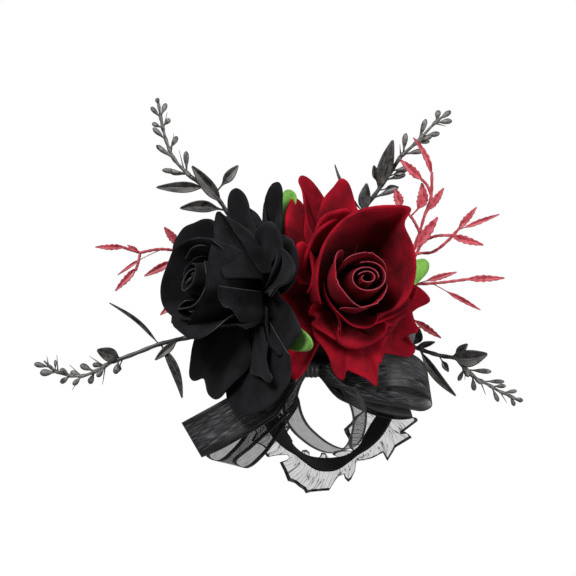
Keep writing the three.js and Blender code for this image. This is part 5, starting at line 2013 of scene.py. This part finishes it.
FRONT_EDGE = (
    (0.11, 392, 392, 8), (0.12, 404, 404, 10), (0.13, 396, 414, 6), (0.145, 415, 417, 10),
    (0.15, 417, 420, 9), (0.175, 400, 434, 6), (0.185, 407, 433, 10), (0.195, 411, 437, 11),
    (0.215, 395, 448, 6), (0.235, 392, 453, 9), (0.25, 387, 461, 11), (0.26, 384, 455, 6),
    (0.27, 383, 453, 5), (0.285, 376, 456, 9), (0.3, 371, 459, 6), (0.32, 364, 460, 9),
    (0.335, 358, 461, 6), (0.345, 357, 459, 4.5), (0.36, 355, 462, 6), (0.37, 355, 471, 9),
    (0.385, 351, 479, 12), (0.395, 348, 482, 12), (0.41, 345, 479, 9), (0.42, 344, 475, 6),
    (0.44, 336, 478, 8), (0.455, 332, 485, 12), (0.47, 329, 491, 11), (0.49, 322, 492, 8),
    (0.505, 316, 492, 11), (0.52, 311, 493, 8), (0.54, 306, 494, 11), (0.55, 304, 491, 7),
    (0.57, 299, 487, 11), (0.585, 295, 484, 7), (0.61, 288, 481, 11), (0.63, 284, 471, 8),
    (0.645, 280, 463, 6), (0.66, 287, 460, 10), (0.668, 290, 458, 6), (0.676, 288, 455, 5),
    (0.69, 274, 455, 10), (0.7, 268, 457, 9), (0.72, 264, 453, 6), (0.73, 266, 448, 9),
    (0.745, 263, 446, 6), (0.76, 252, 440, 10), (0.78, 257, 432, 6), (0.8, 247, 425, 10),
    (0.83, 254, 414, 6), (0.85, 246, 408, 10), (0.88, 254, 398, 6), (0.89, 256, 394, 8),
)
BACK_EDGE = (
    (0.11, 383, 383, -10), (0.15, 374, 396, -13), (0.19, 366, 404, -9), (0.22, 362, 414, -13),
    (0.25, 355, 418, -9), (0.265, 351, 425, -12), (0.285, 344, 431, -9), (0.305, 346, 436, -13),
    (0.32, 349, 441, -9), (0.335, 349, 446, -12), (0.35, 350, 450, -9), (0.365, 354, 453, -7),
    (0.38, 348, 453, -10), (0.395, 344, 452, -7), (0.41, 339, 453, -11), (0.425, 334, 454, -8),
    (0.435, 333, 457, -10), (0.447, 340, 460, -7), (0.46, 332, 461, -8), (0.475, 326, 462, -6),
    (0.485, 326, 456, -11), (0.5, 322, 455, -9), (0.515, 321, 459, -12), (0.53, 318, 461, -6),
    (0.555, 310, 462, -6), (0.565, 310, 455, -11), (0.58, 307, 452, -9), (0.595, 303, 453, -12),
    (0.61, 303, 461, -6), (0.63, 297, 455, -6), (0.65, 292, 449, -6), (0.665, 293, 443, -11),
    (0.68, 290, 437, -8), (0.695, 285, 436, -12), (0.71, 282, 442, -6), (0.725, 286, 436, -9),
    (0.735, 291, 429, -12), (0.748, 286, 430, -8), (0.76, 284, 433, -11), (0.775, 280, 432, -7),
    (0.8, 286, 420, -12), (0.82, 279, 416, -7), (0.85, 284, 406, -12), (0.87, 276, 402, -7),
    (0.89, 280, 394, -11),
)


def main() -> None:
    """Dresses the frame."""
    logging.basicConfig(level=logging.INFO, format="%(name)s: %(message)s")
    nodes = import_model()["nodes"]
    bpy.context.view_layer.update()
    bundle = Bundle()
    bundle.make(nodes)
    for rose in ROSES:
        rose.make()
    BOW.make()
    for sprig in SPRIGS:
        sprig.make(bundle)
    for fern in FERNS:
        fern.make(bundle)
    Wristlet(FRONT_EDGE, BACK_EDGE).make(nodes)
    Studio().make()


if __name__ == "__main__":
    main()
